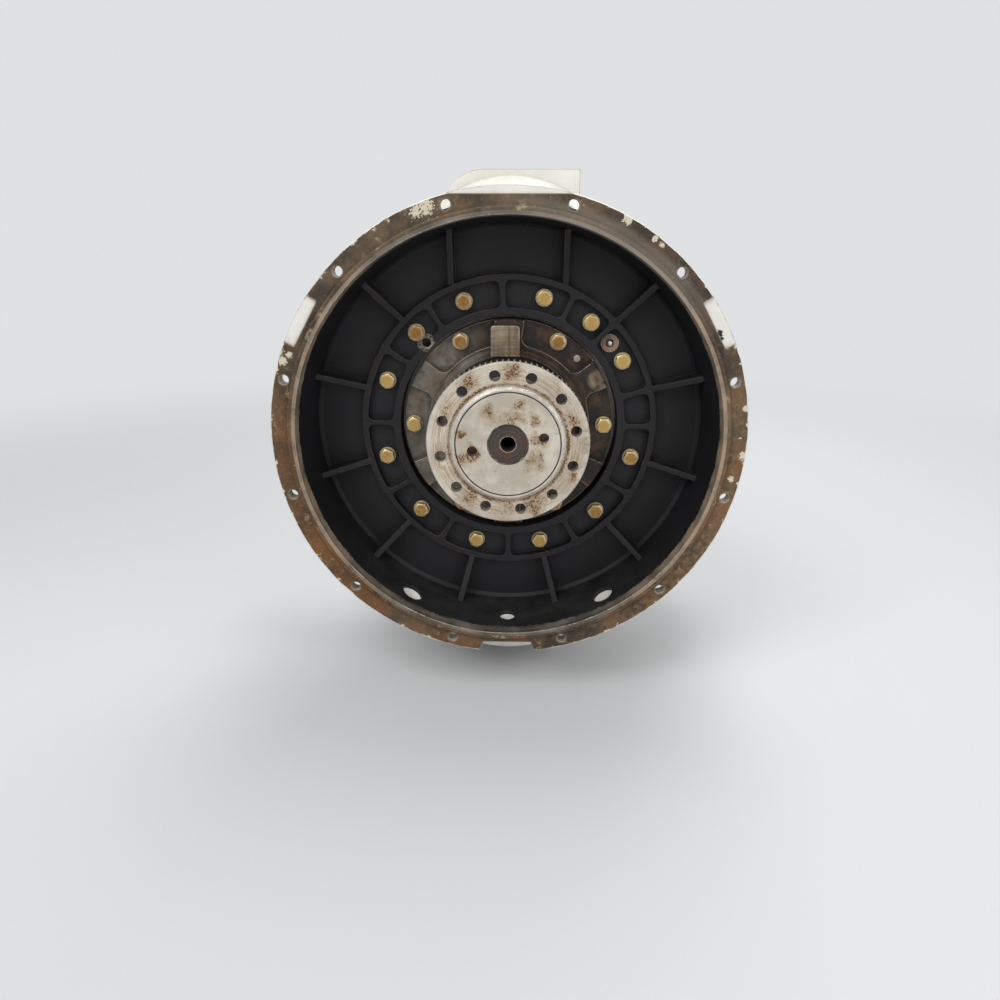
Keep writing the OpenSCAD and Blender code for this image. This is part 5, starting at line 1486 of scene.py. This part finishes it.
def islands(node: str) -> list[tuple[Vector, Vector]]:
    """Finds the separate solids of a CAD node.

    Args:
        node: Name of the node.

    Returns:
        Lowest and highest corner of each solid, in a fixed order.
    """
    shell = bmesh.new()
    shell.from_mesh(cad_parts[node].data)
    bmesh.ops.remove_doubles(shell, verts=shell.verts, dist=WELD)
    seen: set[bmesh.types.BMVert] = set()
    boxes = []
    for first in shell.verts:
        if first in seen:
            continue
        seen.add(first)
        found, open_ends = [first], [first]
        while open_ends:
            vert = open_ends.pop()
            for edge in vert.link_edges:
                other = edge.other_vert(vert)
                if other not in seen:
                    seen.add(other)
                    found.append(other)
                    open_ends.append(other)
        low = Vector(tuple(min(v.co[i] for v in found) for i in range(3)))
        high = Vector(tuple(max(v.co[i] for v in found) for i in range(3)))
        boxes.append((low, high))
    shell.free()
    return sorted(boxes, key=lambda b: tuple(round(c, 4) for c in b[0]))


@dataclass
class BoltSet:
    """The bolts of one joint, on the seats of their CAD node."""

    node: str
    facing: Facing
    sizes: tuple[BoltSize, ...]
    slot: str
    finish: Palette
    seed: int

    def size_for(self, low: Vector, high: Vector) -> BoltSize:
        """Picks the bolt size whose washer fits a solid's box."""
        width = (high - low).x / MM
        return min(self.sizes, key=lambda s: abs(s.width - width))

    def build(self) -> bpy.types.Object:
        """Builds the set as one piece and lets it stand for the CAD node.

        Returns:
            The piece, with its places in its mesh.
        """
        groups: dict[tuple[BoltSize, float], list[Vector]] = {}
        for low, high in islands(self.node):
            size = self.size_for(low, high)
            length = self.facing.length(low, high) - size.stack
            key = (size, round(length, 5))
            groups.setdefault(key, []).append(self.facing.seat(low, high, size.stack))
        shell = bmesh.new()
        for (size, length), seats in groups.items():
            part = self.placed(size, length, seats)
            shell.from_mesh(part)
            bpy.data.meshes.remove(part)
        mesh = bpy.data.meshes.new(f"{self.node}_dressed")
        shell.to_mesh(mesh)
        shell.free()
        mesh.materials.append(self.finish.value.material())
        mesh.shade_smooth()
        mesh.set_sharp_from_angle(angle=SHARP)
        piece = bpy.data.objects.new(f"{self.node}_dressed", mesh)
        bpy.context.collection.objects.link(piece)
        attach(piece, "casing")
        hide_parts(self.node)
        LOG.info("%s: %d bolts", piece.name, sum(len(s) for s in groups.values()))
        return piece

    def placed(self, size: BoltSize, length: float, seats: list[Vector]) -> bpy.types.Mesh:
        """Puts one size of bolt on its seats with the node tree.

        Args:
            size: The bolt's sizes.
            length: Length below the seat, in metres.
            seats: Where the washers stand.

        Returns:
            A plain mesh of all of them.
        """
        bolt = bpy.data.objects.new("bolt_pattern", size.mesh("bolt_pattern", length))
        points = bpy.data.meshes.new("bolt_seats")
        points.from_pydata([tuple(s) for s in seats], [], [])
        carrier = bpy.data.objects.new("bolt_seats", points)
        for made in (bolt, carrier):
            bpy.context.collection.objects.link(made)
        tree = BoltTree.tree()
        modifier = carrier.modifiers.new("bolts", "NODES")
        modifier.node_group = tree
        values = {
            "Bolt": bolt,
            "Facing": self.facing.value,
            "Spin": 2 * math.pi,
            "Seed": self.seed,
            "Finish": self.finish.value.material(),
        }
        for item in tree.interface.items_tree:
            if item.in_out == "INPUT" and item.name in values:
                modifier[item.identifier] = values[item.name]
        bpy.context.view_layer.update()
        seen = carrier.evaluated_get(bpy.context.evaluated_depsgraph_get())
        mesh = bpy.data.meshes.new_from_object(seen)
        for made in (bolt, carrier):
            bpy.data.objects.remove(made)
        return mesh


M12 = BoltSize(12.0, 17.0, 7.5, 21.0, 2.5)
M10 = BoltSize(10.0, 17.0, 6.5, 19.0, 2.0)
M8 = BoltSize(8.0, 13.0, 5.3, 15.2, 2.0)


@dataclass
class SubAssembly:
    """A group of CAD nodes that go together on the bench, with their finishes and bolts."""

    finishes: dict[str, Palette]
    bolts: tuple[BoltSet, ...] = ()

    def dress(self) -> None:
        """Gives each CAD node of the group its material."""
        for name, finish in self.finishes.items():
            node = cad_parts[name]
            node.data.materials.clear()
            node.data.materials.append(finish.value.material())
            LOG.info("%s: %s", name, finish.value.name)

    def build(self) -> None:
        """Dresses the nodes and sets the bolts."""
        self.dress()
        for bolts in self.bolts:
            bolts.build()


@dataclass
class BellEnd(SubAssembly):
    """The bell housing with the bearing retainer in its web."""

    finishes: dict[str, Palette] = field(
        default_factory=lambda: {
            "bell_housing": Palette.BELL,
            "dowel_bush": Palette.BUSH_STEEL,
            "dowel_pin": Palette.PIN_STEEL,
            "input_bearing_retainer": Palette.RETAINER,
            "retainer_plug": Palette.PIN_STEEL,
            "input_oil_seal": Palette.RUBBER,
            "bell_bolts": Palette.YELLOW_ZINC,
            "retainer_bolts": Palette.YELLOW_ZINC,
        }
    )
    bolts: tuple[BoltSet, ...] = (
        BoltSet("bell_bolts", Facing.FRONT, (M12,), "zinc", Palette.YELLOW_ZINC, 11),
        BoltSet("retainer_bolts", Facing.FRONT, (M12,), "zinc", Palette.YELLOW_ZINC, 23),
    )


@dataclass
class InputEnd(SubAssembly):
    """The drive flange, its toothed ring and the input shaft."""

    finishes: dict[str, Palette] = field(
        default_factory=lambda: {
            "input_flange": Palette.INPUT_FLANGE,
            "tone_ring": Palette.TOOTHED_RING,
            "input_shaft": Palette.SHAFT_END,
            "input_bearing_cones": Palette.BEARING,
        }
    )


@dataclass
class CaseGroup(SubAssembly):
    """The gear case, its rear cover and what is screwed into them."""

    finishes: dict[str, Palette] = field(
        default_factory=lambda: {
            "gear_case": Palette.WHITE_CASTING,
            "rear_cover": Palette.WHITE_CASTING,
            "rear_cover_gasket": Palette.GASKET,
            "rear_cover_bolts": Palette.GREY_ZINC,
            "bearing_outer_rings": Palette.BEARING,
            "lifting_eyes": Palette.GREY_ZINC,
            "breather": Palette.PLUG_STEEL,
            "drain_plug": Palette.PLUG_STEEL,
            "port_plugs": Palette.PLUG_STEEL,
            "dipstick": Palette.GRIP,
            "dipstick_tube": Palette.GREY_ZINC,
        }
    )
    bolts: tuple[BoltSet, ...] = (
        BoltSet("rear_cover_bolts", Facing.REAR, (M10,), "plated_steel", Palette.GREY_ZINC, 31),
    )


@dataclass
class ClutchTrain(SubAssembly):
    """The two clutches, their shafts and their gears."""

    TWINS: ClassVar[dict[str, Palette]] = {
        "clutch_drum": Palette.GEAR_STEEL,
        "piston": Palette.GEAR_STEEL,
        "pinion": Palette.GEAR_STEEL,
        "steel_plates": Palette.PLATE_STEEL,
        "friction_plates": Palette.LINING,
        "pinion_bushes": Palette.BRONZE,
    }

    finishes: dict[str, Palette] = field(
        default_factory=lambda: {
            "reverse_shaft": Palette.DARK_STEEL,
            "reverse_bearing_cones": Palette.BEARING,
            "pump_drive_gear": Palette.GEAR_STEEL,
            "pump_idler_gear": Palette.GEAR_STEEL,
            "output_gear": Palette.GEAR_STEEL,
            **{f"ahead_{part}": finish for part, finish in ClutchTrain.TWINS.items()},
            **{f"astern_{part}": finish for part, finish in ClutchTrain.TWINS.items()},
        }
    )


@dataclass
class OutputEnd(SubAssembly):
    """The output shaft with its bearing carrier and flange."""

    finishes: dict[str, Palette] = field(
        default_factory=lambda: {
            "output_shaft": Palette.DARK_STEEL,
            "output_bearing_cones": Palette.BEARING,
            "output_bearing_carrier": Palette.WHITE_CASTING,
            "output_oil_seal": Palette.RUBBER,
            "output_flange": Palette.OUTPUT_FLANGE,
            "output_nut": Palette.PLUG_STEEL,
            "carrier_bolts": Palette.GREY_ZINC,
        }
    )
    bolts: tuple[BoltSet, ...] = (
        BoltSet("carrier_bolts", Facing.REAR, (M10,), "plated_steel", Palette.GREY_ZINC, 43),
    )


@dataclass
class OilSystem(SubAssembly):
    """The oil pump and the filter."""

    finishes: dict[str, Palette] = field(
        default_factory=lambda: {
            "oil_pump_body": Palette.ALLOY,
            "oil_pump_cover": Palette.ALLOY,
            "filter_adapter": Palette.ALLOY,
            "oil_filter": Palette.FILTER_CAN,
            "oil_pump_bolts": Palette.GREY_ZINC,
        }
    )
    bolts: tuple[BoltSet, ...] = (
        BoltSet("oil_pump_bolts", Facing.REAR, (M10, M8), "plated_steel", Palette.GREY_ZINC, 57),
    )


@dataclass
class ControlValve(SubAssembly):
    """The valve block with its spool and lever."""

    finishes: dict[str, Palette] = field(
        default_factory=lambda: {
            "valve_body": Palette.WHITE_CASTING,
            "valve_cover": Palette.WHITE_CASTING,
            "selector_spool": Palette.GEAR_STEEL,
            "selector_lever": Palette.LEVER,
            "valve_bolts": Palette.GREY_ZINC,
        }
    )
    bolts: tuple[BoltSet, ...] = (
        BoltSet("valve_bolts", Facing.TOP, (M10,), "plated_steel", Palette.GREY_ZINC, 61),
    )


SUB_ASSEMBLIES = (BellEnd, InputEnd, CaseGroup, ClutchTrain, OutputEnd, OilSystem, ControlValve)


@dataclass(frozen=True)
class Lamp:
    """A soft square lamp, with its place and side in metres and its power in watts."""

    name: str
    place: Place
    side: float
    power: float

    def hang(self, aim: Vector) -> None:
        """Hangs the lamp.

        Args:
            aim: The point that it looks at.
        """
        data = bpy.data.lights.new(self.name, "AREA")
        data.size = self.side
        data.energy = self.power
        lamp = bpy.data.objects.new(self.name, data)
        lamp.location = self.place
        lamp.rotation_euler = (aim - Vector(self.place)).to_track_quat("-Z", "Y").to_euler()
        bpy.context.collection.objects.link(lamp)


@dataclass
class Studio:
    """The floor, the background, the lights and the camera.

    The eye and the sensor are in millimetres, the camera's turns in radians and all else in metres.
    """

    lamps: tuple[Lamp, ...] = (
        Lamp("key", (-1.1, -1.7, 1.9), 1.4, 42.0),
        Lamp("fill", (1.6, -1.5, 0.8), 1.6, 18.0),
        Lamp("top", (0.3, 0.6, 2.1), 1.2, 22.0),
        Lamp("back", (0.8, 2.0, 1.4), 1.4, 20.0),
    )
    lamps_aim: Place = (0.0, 0.1, -0.02)
    eye: Place = (8.268, -892.445, 225.190)
    yaw: float = 0.0196
    pitch: float = 0.3225
    roll: float = 0.0028
    focal_px: float = 791.6
    frame_px: float = 1000.0
    sensor: float = 36.0
    near: float = 0.01
    floor_colour: Colour = (0.56, 0.565, 0.57)
    floor_roughness: float = 0.9
    floor_turns: int = 64
    far_colour: Colour = (0.74, 0.75, 0.76)
    sky_colour: Colour = (0.93, 0.96, 1.0)
    sky_strength: float = 0.55
    fade: Span = (0.9, 2.8)
    reach: float = 9.0

    def camera(self) -> bpy.types.Object:
        """Stands the camera where the photograph was taken.

        Returns:
            The scene's camera.
        """
        ahead = Vector((-math.sin(self.yaw), math.cos(self.yaw), 0.0))
        side = Vector((math.cos(self.yaw), math.sin(self.yaw), 0.0))
        up = Vector((0.0, 0.0, 1.0))
        look = math.cos(self.pitch) * ahead - math.sin(self.pitch) * up
        lift = math.sin(self.pitch) * ahead + math.cos(self.pitch) * up
        right = math.cos(self.roll) * side + math.sin(self.roll) * lift
        head = -math.sin(self.roll) * side + math.cos(self.roll) * lift
        data = bpy.data.cameras.new("camera")
        data.sensor_width = self.sensor
        data.sensor_height = self.sensor
        data.lens = self.sensor * self.focal_px / self.frame_px
        data.clip_start = self.near
        camera = bpy.data.objects.new("camera", data)
        columns = (right, head, -look, Vector(self.eye) * MM)
        camera.matrix_world = Matrix([[c[i] for c in columns] for i in range(3)] + [[0.0, 0.0, 0.0, 1.0]])
        bpy.context.collection.objects.link(camera)
        bpy.context.scene.camera = camera
        return camera

    def floor(self, height: float) -> bpy.types.Object:
        """Lays a pale round sheet that fades into the background.

        Args:
            height: Height of the floor.

        Returns:
            The sheet.
        """
        shell = bmesh.new()
        bmesh.ops.create_circle(shell, cap_ends=True, segments=self.floor_turns, radius=self.reach)
        bmesh.ops.translate(shell, verts=shell.verts, vec=(0.0, 0.0, height))
        mesh = bpy.data.meshes.new("floor")
        shell.to_mesh(mesh)
        shell.free()
        sheet = bpy.data.objects.new("floor", mesh)
        bpy.context.collection.objects.link(sheet)
        material = bpy.data.materials.new("floor_pale")
        material.use_nodes = True
        material.node_tree.nodes.clear()
        graph = Graph(material.node_tree)
        coords = graph.add("ShaderNodeTexCoord").outputs["Object"]
        away = graph.length(coords)
        paper = graph.add(
            "ShaderNodeBsdfPrincipled", {"Base Color": self.floor_colour, "Roughness": self.floor_roughness}
        )
        glow = graph.add("ShaderNodeEmission", {"Color": self.far_colour})
        part = graph.times(graph.ramp(away, *self.fade), self.seen(graph))
        both = graph.add("ShaderNodeMixShader", {0: part, 1: paper.outputs[0], 2: glow.outputs[0]})
        graph.add("ShaderNodeOutputMaterial", {"Surface": both.outputs[0]})
        mesh.materials.append(material)
        sheet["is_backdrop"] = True
        return sheet

    @staticmethod
    def seen(graph: Graph) -> Socket:
        """Where a ray shows the background by sight, in a reflection or through glass."""
        path = graph.add("ShaderNodeLightPath").outputs
        return graph.most(path["Is Camera Ray"], path["Is Glossy Ray"], path["Is Transmission Ray"])

    def sky(self) -> bpy.types.World:
        """Makes the soft light from all round and the pale background.

        Returns:
            The world.
        """
        world = bpy.data.worlds.new("studio")
        world.use_nodes = True
        world.node_tree.nodes.clear()
        graph = Graph(world.node_tree)
        light = graph.add("ShaderNodeBackground", {"Color": self.sky_colour, "Strength": self.sky_strength})
        pale = graph.add("ShaderNodeBackground", {"Color": self.far_colour, "Strength": 1.0})
        both = graph.add("ShaderNodeMixShader", {0: self.seen(graph), 1: light.outputs[0], 2: pale.outputs[0]})
        graph.add("ShaderNodeOutputWorld", {"Surface": both.outputs[0]})
        return world

    def build(self) -> None:
        """Sets up the whole studio."""
        scene = bpy.context.scene
        scene.view_settings.view_transform = "Standard"
        low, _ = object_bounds()
        self.camera()
        self.floor(low[2])
        scene.world = self.sky()
        for lamp in self.lamps:
            lamp.hang(Vector(self.lamps_aim))


def main() -> None:
    """Builds the studio and then each sub-assembly."""
    logging.basicConfig(level=logging.INFO, format="%(name)s %(message)s")
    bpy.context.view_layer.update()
    Studio().build()
    for group in SUB_ASSEMBLIES:
        group().build()


if __name__ == "__main__":
    main()
